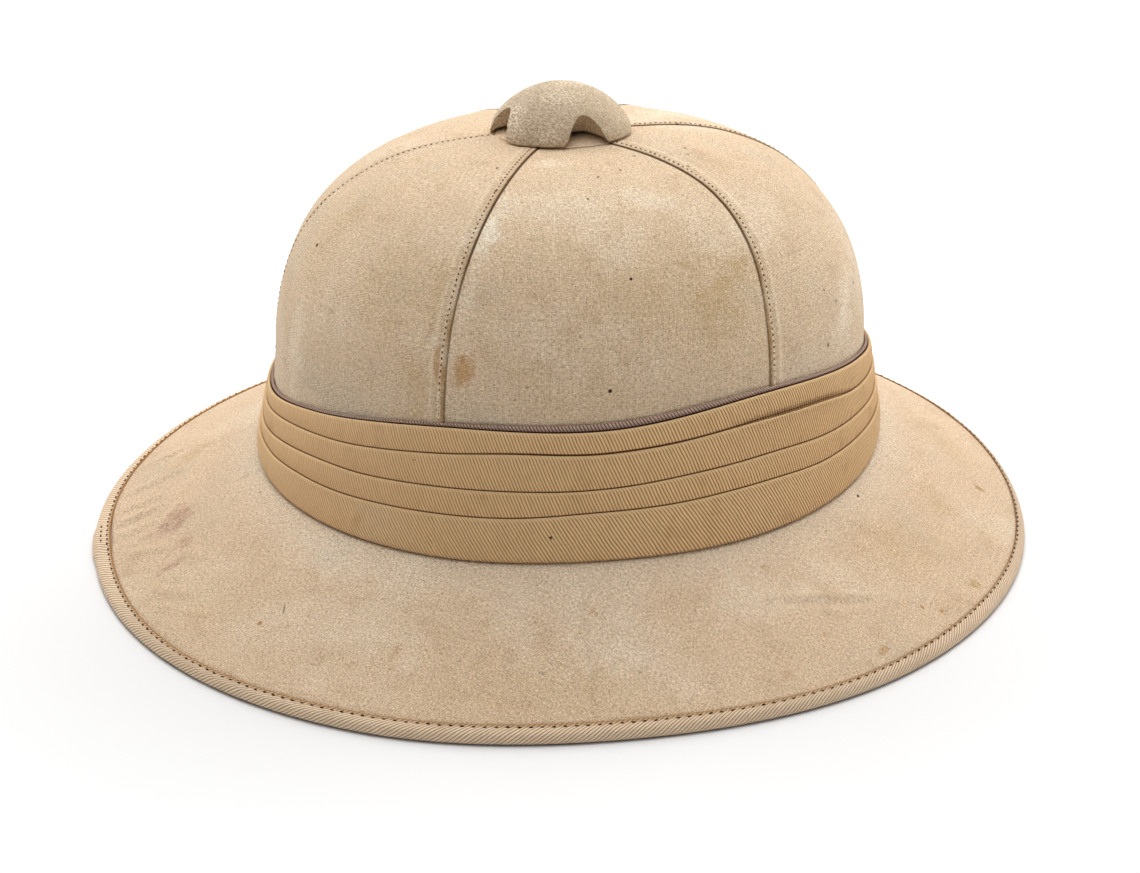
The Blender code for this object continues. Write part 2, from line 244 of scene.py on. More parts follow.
def sectionPiece(name, grid, uvs, material, uvSpan=None):
    # rows of closed sections; with a span the rows come back to the first one, else they are capped at both ends
    rows, size = grid.shape[:2]
    row = np.arange(rows if uvSpan else rows - 1)[:, None]
    place = np.arange(size)[None, :]
    nextRow = (row + 1) % rows
    nextPlace = (place + 1) % size
    corners = [(row, place), (row, nextPlace), (nextRow, nextPlace), (nextRow, place)]
    faces = np.stack([np.broadcast_to(r * size + c, (len(row), size)) for r, c in corners], -1).reshape(-1, 4)
    faceUvs = np.stack([np.broadcast_to(uvs[r, c], (len(row), size, 2)) for r, c in corners], -2).copy()
    if uvSpan:
        faceUvs[-1, :, 2:, 0] += uvSpan
    faceUvs = faceUvs.reshape(-1, 4, 2)
    if not uvSpan:
        step = np.arange(size // 2 - 1)
        for start in (0, (rows - 1) * size):
            cap = np.stack([step, step + 1, size - 2 - step, size - 1 - step], -1) + start
            faces = np.concatenate([faces, cap])
            faceUvs = np.concatenate([faceUvs, uvs.reshape(-1, 2)[cap]])
    return meshPiece(name, grid.reshape(-1, 3), faces, faceUvs, material)


def facing(grid):
    # unit normals of a grid of points, away from the middle of the helmet
    normal = unit(np.cross(np.gradient(grid, axis=0), np.gradient(grid, axis=1)))
    inside = np.array([0.0, 0.0, -0.05])
    return normal * np.sign(np.sum(normal * (grid - inside), axis=-1, keepdims=True))


def skinBetween(outer, inner):
    # one closed section for each row: the outer face, a rounded edge, the inner face, a rounded edge
    def edge(side, beside):
        away = unit(outer[:, side] - outer[:, beside])
        thick = np.linalg.norm(outer[:, side] - inner[:, side], axis=-1, keepdims=True)
        return (0.5 * (outer[:, side] + inner[:, side]) + away * thick * 0.3)[:, None, :]

    return np.concatenate([edge(0, 1), outer, edge(-1, -2), inner[:, ::-1]], axis=1)


def wrapped(values):
    # values on the outer face, carried round both edges and the inner face
    return np.concatenate([values[:, :1], values, values[:, -1:], values[:, ::-1]], axis=1)


def runLength(points, axis):
    steps = np.linalg.norm(np.diff(points, axis=axis), axis=-1)
    start = np.zeros_like(np.take(steps, [0], axis=axis))
    return np.concatenate([start, np.cumsum(steps, axis=axis)], axis=axis)


def makeCamera():
    yaw = radians(view["yaw"])
    rise = radians(view["rise"])
    back = Vector((sin(yaw) * cos(rise), -cos(yaw) * cos(rise), sin(rise)))
    data = bpy.data.cameras.new("camera")
    data.sensor_fit = "HORIZONTAL"
    data.sensor_width = view["sensor"]
    data.lens = picture["focal"] * view["sensor"] / picture["width"]
    camera = newObject("camera", data)
    camera.location = Vector(view["target"]) + back * view["distance"]
    camera.rotation_euler = (-back).to_track_quat("-Z", "Y").to_euler()
    bpy.context.scene.camera = camera


studio = {
    "skyFromBehind": 1.60,
    # power in watts, and the place right, back and up as the camera sees it, in metres
    "lamps": {
        "top": (11.0, (0.0, 0.0, 1.5)),
        "backRight": (8.2, (0.9, 0.9, 0.8)),
        "backLeft": (6.1, (-0.9, 0.9, 0.8)),
        "right": (3.0, (1.3, 0.0, 0.5)),
        "left": (1.7, (-1.3, 0.0, 0.5)),
        "front": (3.8, (0.0, -1.0, 1.0)),
    },
    "lampSize": 1.0,
    "aim": (0.0, 0.0, 0.05),
    "paper": 0.90,
    "floorSize": 3.0,
}


def makeStudio():
    scene = bpy.context.scene
    scene.view_settings.view_transform = "Standard"
    turned = Matrix.Rotation(radians(view["yaw"]), 3, "Z")
    scene.world = bpy.data.worlds.new("studio")
    scene.world.use_nodes = True
    tree = scene.world.node_tree
    tree.nodes.clear()
    way = addNode(tree, "ShaderNodeTexCoord").outputs["Generated"]
    share = vectors("DOT_PRODUCT", way, turned @ Vector((0, 1, 0)), "Value")
    strength = times(clamped(share), studio["skyFromBehind"])
    sky = addNode(tree, "ShaderNodeBackground", {"Color": (1, 1, 1, 1), "Strength": strength}).outputs[0]
    seen = addNode(tree, "ShaderNodeBackground", {"Color": (1, 1, 1, 1), "Strength": 1.0}).outputs[0]
    path = addNode(tree, "ShaderNodeLightPath").outputs["Is Camera Ray"]
    mix = addNode(tree, "ShaderNodeMixShader", {0: path, 1: sky, 2: seen}).outputs[0]
    addNode(tree, "ShaderNodeOutputWorld", {"Surface": mix})
    for name, (power, place) in studio["lamps"].items():
        data = bpy.data.lights.new(name, "AREA")
        data.energy = power
        data.size = studio["lampSize"]
        light = newObject(name, data)
        light.location = turned @ Vector(place)
        aim = Vector(studio["aim"]) - light.location
        light.rotation_euler = aim.to_track_quat("-Z", "Y").to_euler()
    half = studio["floorSize"] / 2
    mesh = bpy.data.meshes.new("floor")
    mesh.from_pydata([(-half, -half, 0), (half, -half, 0), (half, half, 0), (-half, half, 0)], [], [(0, 1, 2, 3)])
    mesh.materials.append(plainFinish("paperFloor", (studio["paper"],) * 3 + (1,), 0.9))
    newObject("floor", mesh)


def setInputs(item, inputs):
    for key, value in inputs.items():
        if isinstance(value, bpy.types.NodeSocket):
            item.id_data.links.new(value, item.inputs[key])
        else:
            item.inputs[key].default_value = value


def addNode(tree, kind, inputs=None, **settings):
    item = tree.nodes.new(kind)
    for key, value in settings.items():
        setattr(item, key, value)
    setInputs(item, inputs or {})
    return item


def ownTree(inputs):
    # the tree that the inputs come from
    return next(value.id_data for value in inputs.values() if isinstance(value, bpy.types.NodeSocket))


def nodeFor(kind, inputs, output=0, **settings):
    return addNode(ownTree(inputs), kind, inputs, **settings).outputs[output]


def maths(operation, first, second=0.0, third=0.0):
    return nodeFor("ShaderNodeMath", {0: first, 1: second, 2: third}, operation=operation)


def plus(first, second):
    return maths("ADD", first, second)


def minus(first, second):
    return maths("SUBTRACT", first, second)


def times(first, second):
    return maths("MULTIPLY", first, second)


def timesPlus(first, second, third):
    return maths("MULTIPLY_ADD", first, second, third)


def clamped(value):
    return nodeFor("ShaderNodeClamp", {"Value": value})


def vectors(operation, first, second, output=0):
    return nodeFor("ShaderNodeVectorMath", {0: first, 1: second}, output, operation=operation)


def joined(x, y, z):
    return nodeFor("ShaderNodeCombineXYZ", {0: x, 1: y, 2: z})


def split(vector):
    return addNode(vector.id_data, "ShaderNodeSeparateXYZ", {0: vector}).outputs


def objectPlace(tree):
    return addNode(tree, "ShaderNodeTexCoord").outputs["Object"]


def clothPlace(tree):
    return addNode(tree, "ShaderNodeUVMap", uv_map="cloth").outputs[0]


def painted(tree, name):
    return addNode(tree, "ShaderNodeAttribute", attribute_name=name).outputs["Fac"]


def spread(value, low, high, toLow=0.0, toHigh=1.0):
    inputs = {"Value": value, "From Min": low, "From Max": high, "To Min": toLow, "To Max": toHigh}
    return nodeFor("ShaderNodeMapRange", inputs, interpolation_type="SMOOTHSTEP")


def cloudy(vector, scale, detail=2.0, roughness=0.5, output="Fac"):
    inputs = {"Vector": vector, "Scale": scale, "Detail": detail, "Roughness": roughness}
    return nodeFor("ShaderNodeTexNoise", inputs, output)


def blend(share, first, second, mode="MIX"):
    return nodeFor("ShaderNodeMix", {0: share, 6: first, 7: second}, 2, data_type="RGBA", blend_type=mode)


def newGroup(name, inputs, outputs, kind="Shader"):
    # an input has its starting value or the name of its kind; returns what the group is given and its last node
    tree = bpy.data.node_groups.new(name, kind + "NodeTree")
    for label, value in inputs.items():
        named = isinstance(value, str)
        socketKind = "NodeSocket" + (value if named else type(value).__name__.capitalize())
        socket = tree.interface.new_socket(name=label, in_out="INPUT", socket_type=socketKind)
        if not named:
            socket.default_value = value
    for label, value in outputs.items():
        tree.interface.new_socket(name=label, in_out="OUTPUT", socket_type="NodeSocket" + value)
    return tree.nodes.new("NodeGroupInput").outputs, tree.nodes.new("NodeGroupOutput")


def useGroup(name, inputs):
    return addNode(ownTree(inputs), "ShaderNodeGroup", inputs, node_tree=bpy.data.node_groups[name]).outputs


def plainWeaveGroup():
    # cotton cloth seen close: short thick and thin yarns both ways, a few long ones, and a fuzzy grain
    given, out = newGroup("plainWeave", {"Cloth": "Vector", "Yarn": 0.00050}, {"Height": "Float"})
    cloth = given["Cloth"]
    fine = maths("DIVIDE", 1.0, given["Yarn"])

    def yarns(length):
        # warp and weft, each as fine as a yarn is wide
        other = times(fine, length)
        warp = cloudy(vectors("MULTIPLY", cloth, joined(fine, other, 1.0)), 1.0, 1.0)
        weft = cloudy(vectors("MULTIPLY", cloth, joined(other, fine, 1.0)), 1.0, 1.0)
        return minus(plus(warp, weft), 1.0)

    grain = minus(cloudy(cloth, times(fine, 0.9), 2.0, 0.7), 0.5)
    # the slanting line of a drill shows here and there
    x, y, _ = split(cloth)
    across = timesPlus(y, 0.94, times(x, 0.34))
    line = maths("SINE", times(across, times(fine, 2 * pi * 0.48)))
    line = times(line, spread(cloudy(cloth, 60.0, 2.0), 0.48, 0.62, 0.0, 0.10))
    height = timesPlus(yarns(0.022), 0.35, plus(yarns(0.30), grain))
    setInputs(out, {"Height": plus(height, line)})


def twillGroup():
    # slanting ribs of a twill, with the single yarns crossing them
    inputs = {"Cloth": "Vector", "Rib Pitch": 0.00095, "Slant": 60.0, "Yarn Pitch": 0.0004}
    given, out = newGroup("twill", inputs, {"Height": "Float", "Shade": "Float"})
    cloth = given["Cloth"]
    x, y, _ = split(cloth)
    slant = maths("RADIANS", given["Slant"])
    wander = minus(cloudy(cloth, 160.0, 3.0), 0.5)
    across = timesPlus(y, maths("COSINE", slant), times(x, maths("SINE", slant)))
    across = timesPlus(wander, 0.0006, across)
    rib = maths("SINE", times(across, maths("DIVIDE", 2 * pi, given["Rib Pitch"])))
    rib = maths("POWER", timesPlus(rib, 0.5, 0.5), 0.7)
    yarn = maths("SINE", times(y, maths("DIVIDE", 2 * pi, given["Yarn Pitch"])))
    uneven = cloudy(vectors("MULTIPLY", cloth, (1200.0, 150.0, 1.0)), 1.0)
    setInputs(out, {
        "Height": timesPlus(uneven, 0.35, timesPlus(yarn, 0.10, rib)),
        "Shade": timesPlus(uneven, 0.35, minus(rib, 0.6))})


def mottleGroup():
    # faded, yellowed and greyed patches, and small dirt that sticks in the cloth
    inputs = {"Place": "Vector", "Patch Size": 0.05, "Seed": 0.0}
    given, out = newGroup("mottle", inputs, {"Patches": "Float", "Blotches": "Float", "Specks": "Float"})
    moved = vectors("ADD", given["Place"], joined(given["Seed"], 0.3, given["Seed"]))
    patchScale = maths("DIVIDE", 1.0, given["Patch Size"])
    specks = nodeFor("ShaderNodeTexVoronoi", {"Vector": moved, "Scale": 130.0}, "Distance")
    rare = cloudy(moved, 45.0, 2.0)
    setInputs(out, {
        "Patches": cloudy(moved, patchScale, 4.0, 0.55),
        "Blotches": cloudy(moved, times(patchScale, 4.3), 5.0, 0.65),
        "Specks": times(spread(specks, 0.10, 0.03), spread(rare, 0.56, 0.62))})


def spotGroup():
    # one stain or hole: the given place is already centred on it and measured in its own radius
    given, out = newGroup("spot", {"Place": "Vector", "Softness": 0.5}, {"Mask": "Float"})
    far = vectors("LENGTH", given["Place"], (0, 0, 0), "Value")
    setInputs(out, {"Mask": spread(far, 1.0, minus(1.0, given["Softness"]))})


# across and down are a mark's place in the photo, in pixels; radius in millimetres; stretch draws it out along the
# cloth, in the line that the photo shows at the slant in degrees. The marks are listed under the name of their colour
Mark = namedtuple("Mark", "tone across down radius strength softness stretch slant", defaults=(1.0, 0))
speckled = ("scuff", "rust")
smallest = {"flat": 0.002, "large": 1.5}
tones = {
    "hole": (0.040, 0.016, 0.005, 1),
    "rust": (0.54, 0.27, 0.085, 1),
    "brown": (0.46, 0.27, 0.11, 1),
    "tea": (0.58, 0.37, 0.18, 1),
    "amber": (0.62, 0.42, 0.20, 1),
    "tan": (0.60, 0.34, 0.15, 1),
    "scuff": (0.48, 0.25, 0.17, 1),
    "grey": (0.42, 0.35, 0.25, 1),
    "pale": (1.0, 0.88, 0.70, 1),
}
crownMarks = {
    "amber": (
        (720, 300, 17.0, 0.62, 1.0, 1.3, 80), (640, 300, 19.0, 0.30, 1.0, 1.3, 0),
        (590, 395, 18.0, 0.22, 1.0, 2.0, 0), (395, 290, 15.0, 0.30, 1.0, 1.4, 60),
        (415, 385, 12.0, 0.40, 1.0, 1.5, 85), (440, 290, 4.0, 0.50, 1.0, 3.5, 70),
        (350, 215, 12.0, 0.25, 1.0, 2.2, 40), (735, 263, 4.2, 0.55, 0.9, 1.3, 20)),
    "tea": ((710, 160, 8.0, 0.35, 1.0, 2.0, -25),),
    # the pale marks at 489, 228 and 560, 205 on the front gore are partly paler cloth and partly a painted highlight
    "pale": (
        (489, 228, 7.0, 0.95, 1.0, 3.0, 64), (466, 300, 4.5, 0.35, 1.0, 3.0, 78), (560, 205, 15.0, 0.35, 1.0, 1.7, 5),
        (650, 200, 9.0, 0.45, 1.0, 2.2, -15), (530, 330, 12.0, 0.15, 1.0, 1.8, 0), (548, 163, 5.0, 0.50, 1.0, 1.6, 0),
        (295, 340, 10.0, 0.45, 1.0, 2.4, 85), (845, 305, 9.0, 0.55, 1.0, 2.6, 80),
        (665, 113, 12.0, 0.45, 1.0, 2.2, 0), (554, 235, 0.28, 0.60, 0.9, 75.0, 88)),
    "tan": (
        (463, 373, 4.0, 0.80, 0.6, 1.8, 72), (459, 362, 2.4, 0.55, 0.6, 1.6, 80),
        (438, 363, 2.1, 0.75, 0.5, 3.6, 90)),
    "brown": (
        (430, 330, 1.6, 0.40, 0.9, 3.5, 70), (444, 262, 1.2, 0.45, 0.9, 3.5, 65), (683, 263, 2.6, 0.40, 0.9, 1.6, 0)),
    "rust": (
        (515, 400, 0.50, 0.9, 0.6), (706, 290, 3.4, 0.38, 0.9, 2.0, 60), (718, 303, 2.0, 0.35, 0.9, 1.4, 60),
        (740, 262, 1.8, 0.35, 0.8, 1.6, 20), (758, 268, 2.2, 0.30, 0.9, 1.4, 60), (600, 170, 2.0, 0.25, 0.9, 2.4, 0)),
    "scuff": ((700, 152, 2.6, 0.40, 0.9, 2.4, -30),),
    "hole": (
        (317, 245, 0.80, 0.97, 0.30), (299, 257, 0.56, 0.67, 0.6), (685, 148, 0.64, 0.97, 0.30),
        (688, 154, 0.48, 0.97, 0.30), (688, 166, 0.48, 0.90, 0.30), (620, 170, 0.48, 0.90, 0.30),
        (598, 177, 0.48, 0.90, 0.30), (588, 199, 0.48, 0.90, 0.30), (634, 156, 0.56, 0.97, 0.30),
        (631, 279, 0.56, 0.97, 0.30), (610, 391, 0.72, 0.97, 0.30), (497, 168, 0.56, 0.97, 0.30),
        (496, 191, 0.56, 0.97, 0.30), (828, 345, 0.72, 0.97, 0.30), (824, 290, 0.48, 0.90, 0.30),
        (836, 301, 0.48, 0.90, 0.30), (853, 283, 0.80, 0.67, 0.8, 1.8, 80), (677, 124, 0.64, 0.78, 0.6, 1.5, 20),
        (700, 125, 0.64, 0.78, 0.6, 1.5, 20)),
}
brimMarks = {
    "amber": (
        (900, 545, 20.0, 0.35, 1.0, 1.8, 0), (940, 440, 12.0, 0.35, 1.0, 2.4, -40),
        (560, 690, 22.0, 0.25, 1.0, 2.4, 0), (230, 600, 14.0, 0.22, 1.0, 1.8, -30),
        (420, 620, 14.0, 0.18, 1.0, 2.0, -10), (192, 455, 8.0, 0.50, 1.0, 2.2, 30),
        (974, 584, 3.0, 0.95, 0.7, 1.2, 0), (935, 500, 9.0, 0.45, 1.0, 1.6, -45)),
    "pale": (
        (600, 650, 12.0, 0.35, 1.0, 2.0, 0), (330, 560, 14.0, 0.35, 1.0, 2.0, -25),
        (760, 600, 14.0, 0.30, 1.0, 2.0, 15)),
    "scuff": (
        (177, 519, 8.5, 0.95, 0.9, 1.5, 62), (160, 531, 5.0, 0.85, 0.9, 1.5, 20), (184, 542, 4.5, 0.80, 0.9, 1.8, 75),
        (166, 569, 2.6, 0.90, 0.8, 3.4, 28)),
    "tan": (
        (244, 477, 2.4, 0.60, 0.8, 1.6, 15), (287, 626, 1.2, 0.50, 0.7, 1.2, 0), (825, 634, 1.3, 0.70, 0.8, 1.4, 80)),
    "brown": ((980, 489, 1.9, 0.90, 0.8, 1.9, -40),),
    "rust": (
        (260, 623, 1.0, 0.95, 0.5, 1.3, 30), (395, 652, 2.6, 0.55, 0.8, 2.2, 75), (391, 668, 1.6, 0.50, 0.8, 1.4, 75),
        (351, 665, 1.4, 0.35, 0.8, 2.2, 0), (592, 613, 1.6, 0.50, 0.8, 1.8, 120), (475, 598, 2.2, 0.30, 0.9, 2.4, 10),
        (490, 655, 4.0, 0.22, 0.9, 2.2, 40), (200, 615, 4.0, 0.25, 0.9, 1.8, 20), (763, 566, 3.0, 0.50, 0.9, 1.4, 10),
        (922, 607, 0.85, 0.90, 0.6, 1.6, -55), (942, 611, 0.85, 0.90, 0.6, 1.6, -55), (951, 625, 0.7, 0.70, 0.6),
        (883, 651, 2.6, 0.85, 0.8, 1.3, 20), (788, 675, 2.8, 0.60, 0.9, 1.4, -15)),
    "grey": ((505, 665, 0.6, 0.6, 0.7), (542, 673, 1.2, 0.6, 0.7), (640, 672, 0.8, 0.6, 0.7)),
    "hole": ((284, 609, 0.45, 0.75, 0.8, 8.0, 81), (858, 496, 0.56, 0.97, 0.30, 1.6, 60)),
}
bandMarks = {
    "rust": ((414, 460, 0.50, 0.8, 0.6), (352, 421, 0.40, 0.6, 0.6)),
    "hole": ((551, 538, 0.56, 0.97, 0.30),),
}


def searchTrees(pieces):
    return [BVHTree.FromPolygons([v.co for v in p.data.vertices], [f.vertices for f in p.data.polygons])
            for p in pieces]


def findMarks(marks, pieces):
    camera = bpy.context.scene.camera
    turned = camera.rotation_euler.to_matrix()
    trees = searchTrees(pieces)
    found = []
    for mark in (Mark(tone, *row) for tone, rows in marks.items() for row in rows):
        across = (mark.across - picture["width"] / 2) / picture["focal"]
        down = (mark.down - picture["height"] / 2) / picture["focal"]
        way = (turned @ Vector((across, -down, -1.0))).normalized()
        hits = [hit for hit in (tree.ray_cast(camera.location, way) for tree in trees) if hit[0] is not None]
        if not hits:
            print("no cloth under the mark at", mark.across, mark.down)
            continue
        place, normal = min(hits, key=lambda hit: hit[3])[:2]
        seen = turned @ Vector((cos(radians(mark.slant)), sin(radians(mark.slant)), 0.0))
        along = normal.cross(seen.cross(way)).normalized()
        axes = Matrix((along, normal.cross(along), normal)).transposed()
        found.append((mark, place, axes.to_euler()))
    return found


def paintMarks(colour, found, place):
    # returns the colour with the marks on it and a mask of the holes; each edge is ragged in the mark's own size
    def shaken(scale, detail, reach):
        noise = cloudy(place, scale, detail, 0.7, "Color")
        return vectors("MULTIPLY", vectors("SUBTRACT", noise, (0.5, 0.5, 0.5)), (reach,) * 3)

    ragged = {False: shaken(700.0, 2.0, 1.2), True: shaken(190.0, 5.0, 2.6)}
    speckle = spread(cloudy(place, 1100.0, 3.0, 0.8), 0.42, 0.56, 0.15, 1.0)
    holes = 0.0
    for mark, centre, turned in found:
        radius = mark.radius * 0.001
        large = mark.radius > smallest["large"]
        size = (radius * mark.stretch, radius, max(radius, smallest["flat"]))
        inputs = {"Vector": place, "Location": centre, "Rotation": turned, "Scale": size}
        centred = vectors("ADD", nodeFor("ShaderNodeMapping", inputs, vector_type="TEXTURE"), ragged[large])
        mask = useGroup("spot", {"Place": centred, "Softness": mark.softness})["Mask"]
        if mark.tone == "hole":
            holes = maths("MAXIMUM", mask, holes)
        share = times(mask, mark.strength)
        if mark.tone in speckled and large:
            share = times(share, speckle)
        colour = blend(share, colour, tones[mark.tone])
    return colour, holes


def finish(name, roughness, specular=0.5, sheen=0.0):
    material = bpy.data.materials.new(name)
    material.use_nodes = True
    tree = material.node_tree
    shader = tree.nodes["Principled BSDF"]
    setInputs(shader, {"Roughness": roughness, "Specular IOR Level": specular, "Sheen Weight": sheen})
    return material, tree, shader


def dress(shader, colour, height, depth):
    bump = nodeFor("ShaderNodeBump", {"Height": height, "Strength": 1.0, "Distance": depth})
    setInputs(shader, {"Base Color": colour, "Normal": bump})


def wear(pieces, material):
    for piece in pieces:
        piece.data.materials[0] = material


drill = {
    "crown": {"fresh": (0.790, 0.590, 0.392, 1), "faded": (0.88, 0.700, 0.510, 1), "aged": (0.640, 0.445, 0.262, 1),
              "grey": (0.720, 0.585, 0.420, 1), "patch": 0.040, "yarn": 0.00039, "shade": 0.94, "seed": 1.7,
              "bump": 0.00034},
    "brim": {"fresh": (0.800, 0.592, 0.396, 1), "faded": (0.87, 0.690, 0.497, 1), "aged": (0.660, 0.460, 0.280, 1),
             "grey": (0.715, 0.565, 0.400, 1), "patch": 0.050, "yarn": 0.00030, "shade": 1.15, "seed": 4.2,
             "bump": 0.00034},
}
# the brown tint beside the seams, the specks' colour, and the colour of the dark lines: painted shade along the
# seams, and the brim's darker join
drillTints = {"tinted": (0.42, 0.25, 0.095, 1), "specks": (0.16, 0.10, 0.06, 1), "crease": (0.095, 0.034, 0.003, 1)}


def drillCloth(name, look, marks, pieces, flatCut=False):
    material, tree, shader = finish(name, 0.92, 0.2, 0.05)
    place = objectPlace(tree)
    weave = useGroup("plainWeave", {"Cloth": place if flatCut else clothPlace(tree), "Yarn": look["yarn"]})
    mottle = useGroup("mottle", {"Place": place, "Patch Size": look["patch"], "Seed": look["seed"]})
    colour = blend(spread(mottle["Patches"], 0.50, 0.70, 0.0, 0.8), look["fresh"], look["faded"])
    colour = blend(spread(mottle["Patches"], 0.48, 0.30, 0.0, 0.7), colour, look["grey"])
    colour = blend(spread(mottle["Blotches"], 0.52, 0.72, 0.0, 0.55), colour, look["aged"])
    if not flatCut:
        # the crown is greyer low down
        colour = blend(spread(split(place)[2], 0.100, 0.062, 0.0, 0.40), colour, look["grey"])
    found = findMarks(marks, pieces)
    colour = paintMarks(colour, [mark for mark in found if mark[0].tone != "hole"], place)[0]
    colour = blend(painted(tree, "tinted"), colour, drillTints["tinted"])
    colour = blend(painted(tree, "paled"), colour, tones["pale"])
    shades = [timesPlus(weave["Height"], look["shade"] * part, 1.0) for part in (0.85, 1.0, 1.20)]
    colour = blend(1.0, colour, nodeFor("ShaderNodeCombineColor", dict(enumerate(shades))), "MULTIPLY")
    colour = blend(times(mottle["Specks"], 0.45), colour, drillTints["specks"])
    # dark lines: painted shade along the seams, and the brim's darker join
    colour = blend(painted(tree, "crease"), colour, drillTints["crease"])
    colour, holes = paintMarks(colour, [mark for mark in found if mark[0].tone == "hole"], place)
    dress(shader, colour, minus(weave["Height"], times(holes, 0.6)), look["bump"])
    wear(pieces, material)


# its line colour is painted shadow in the grooves between the folds, and its lightest colour a painted highlight on
# each fold's upper edge
bandLook = {"light": (0.98, 0.650, 0.345, 1), "deep": (0.36, 0.150, 0.028, 1), "faded": (0.96, 0.650, 0.355, 1),
            "rib": 0.00100, "slant": 115.0, "yarn": 0.0004, "bump": 0.00040, "patch": 0.05, "seed": 3.0,
            "line": (0.15, 0.036, 0.004, 1), "edgeHighlightAndShade": (1.0, 0.69, 0.37, 1)}
# the lowest fold: its ribs slant a little more, and its colours are a little lighter, a painted light against the
# shade it gets facing down
lowLook = dict(bandLook, light=(0.98, 0.665, 0.36, 1), faded=(0.96, 0.70, 0.42, 1), slant=123.0, seed=5.0)
# on the strip the line colour is painted shadow along its lower line
stripLook = dict(bandLook, light=(0.62, 0.440, 0.350, 1), deep=(0.16, 0.060, 0.040, 1), faded=(0.64, 0.47, 0.38, 1),
                 line=(0.060, 0.012, 0.004, 1), slant=122.0, seed=6.0)
# on the tape the line colour is the tan of its inner edge, partly painted shade, and its darkest colour a painted
# contact shadow over the dark red underside
tapeLook = dict(bandLook, light=(0.97, 0.75, 0.54, 1), deep=(0.46, 0.285, 0.145, 1), faded=(0.98, 0.78, 0.58, 1),
                line=(0.46, 0.22, 0.06, 1), edgeHighlightAndShade=(0.05, 0.014, 0.006, 1), rib=0.00092, slant=35.0, bump=0.00034,
                seed=9.0)


def twillCloth(name, look, marks, pieces):
    material, tree, shader = finish(name, 0.85, 0.12, 0.02)
    place = objectPlace(tree)
    twill = useGroup("twill", {"Cloth": clothPlace(tree), "Rib Pitch": look["rib"], "Slant": look["slant"],
                               "Yarn Pitch": look["yarn"]})
    mottle = useGroup("mottle", {"Place": place, "Patch Size": look["patch"], "Seed": look["seed"]})
    colour = blend(spread(mottle["Patches"], 0.5, 0.68, 0.0, 0.7), look["light"], look["faded"])
    groove = spread(twill["Shade"], 0.16, -0.40, 0.0, 0.98)
    colour = blend(times(groove, painted(tree, "ribbed")), colour, look["deep"])
    colour = blend(spread(mottle["Blotches"], 0.55, 0.75, 0.0, 0.25), colour, look["deep"])
    # a painted highlight on the folds' upper edges and a painted contact shadow under the tape's edge; then the dark
    # lines, mostly painted shade
    edgeHighlightAndShade = times(painted(tree, "rubbed"), spread(twill["Shade"], -0.5, 0.2, 0.5, 1.0))
    colour = blend(edgeHighlightAndShade, colour, look["edgeHighlightAndShade"])
    colour = blend(painted(tree, "crease"), colour, look["line"])
    colour = paintMarks(colour, findMarks(marks, pieces), place)[0]
    dress(shader, colour, twill["Height"], look["bump"])
    wear(pieces, material)


def plainFinish(name, colour, roughness=0.85):
    material, _, shader = finish(name, roughness)
    setInputs(shader, {"Base Color": colour})
    return material


crown = {"rows": 58, "columns": 76, "reachFrom": 0.12, "wallDrops": (0.05, 0.12, 0.22, 0.35, 0.5),
         "thick": 0.00095, "seamGap": 0.00008, "lapWidth": 0.0044, "lapHeight": 0.00030, "underDrop": 0.00016,
         "lapRise": (-0.0002, 0.0005), "lapFall": (0.0012, -0.0006), "dropReach": (0.0022, 0.0006),
         "wave": 0.00030, "waveSize": 0.026, "smallWave": 0.3, "stitchFrom": 0.0017, "stitchPull": 0.00016,
         "pullWidth": 0.0005, "lineWidth": 0.00020, "lineWider": 0.00022, "lineSoft": (0.0002, -0.0001)}
# the colours beside a seam: how strong each one is, how much of it goes or comes towards the top, and its widths;
# fold and line are painted shade along the edge of the lap, turned and lap a brown tint, sewn and lapPale a paler
# colour
seamLook = {"topFrom": 0.092, "topFull": 0.128, "fold": 0.35, "foldTop": 0.5, "foldWidth": 0.00030,
            "turned": 0.85, "turnedTop": -0.35, "turnedEdge": (-0.0002, -0.0009), "lap": 0.22, "lapPast": 0.0006,
            "lapFull": 0.0030, "sewn": 0.55, "sewnTop": 0.6, "sewnWidth": 0.00035, "lapPale": 0.35,
            "lapPaleWidth": 0.0004, "line": 0.75, "lineTop": 0.23,
            "patchyMean": 0.65, "patchySpan": 0.9, "patchySize": 0.010, "patchyLeast": 0.15}
# which side of each seam lies on top: 1 for the gore after it, -1 for the gore before it
seamLaps = (-1, 1, 1, -1, 1, 1)
# how dark the painted shadow line beside each seam is
seamShows = (1.0, 1.0, 0.3, 0.8, 0.8, 1.0)


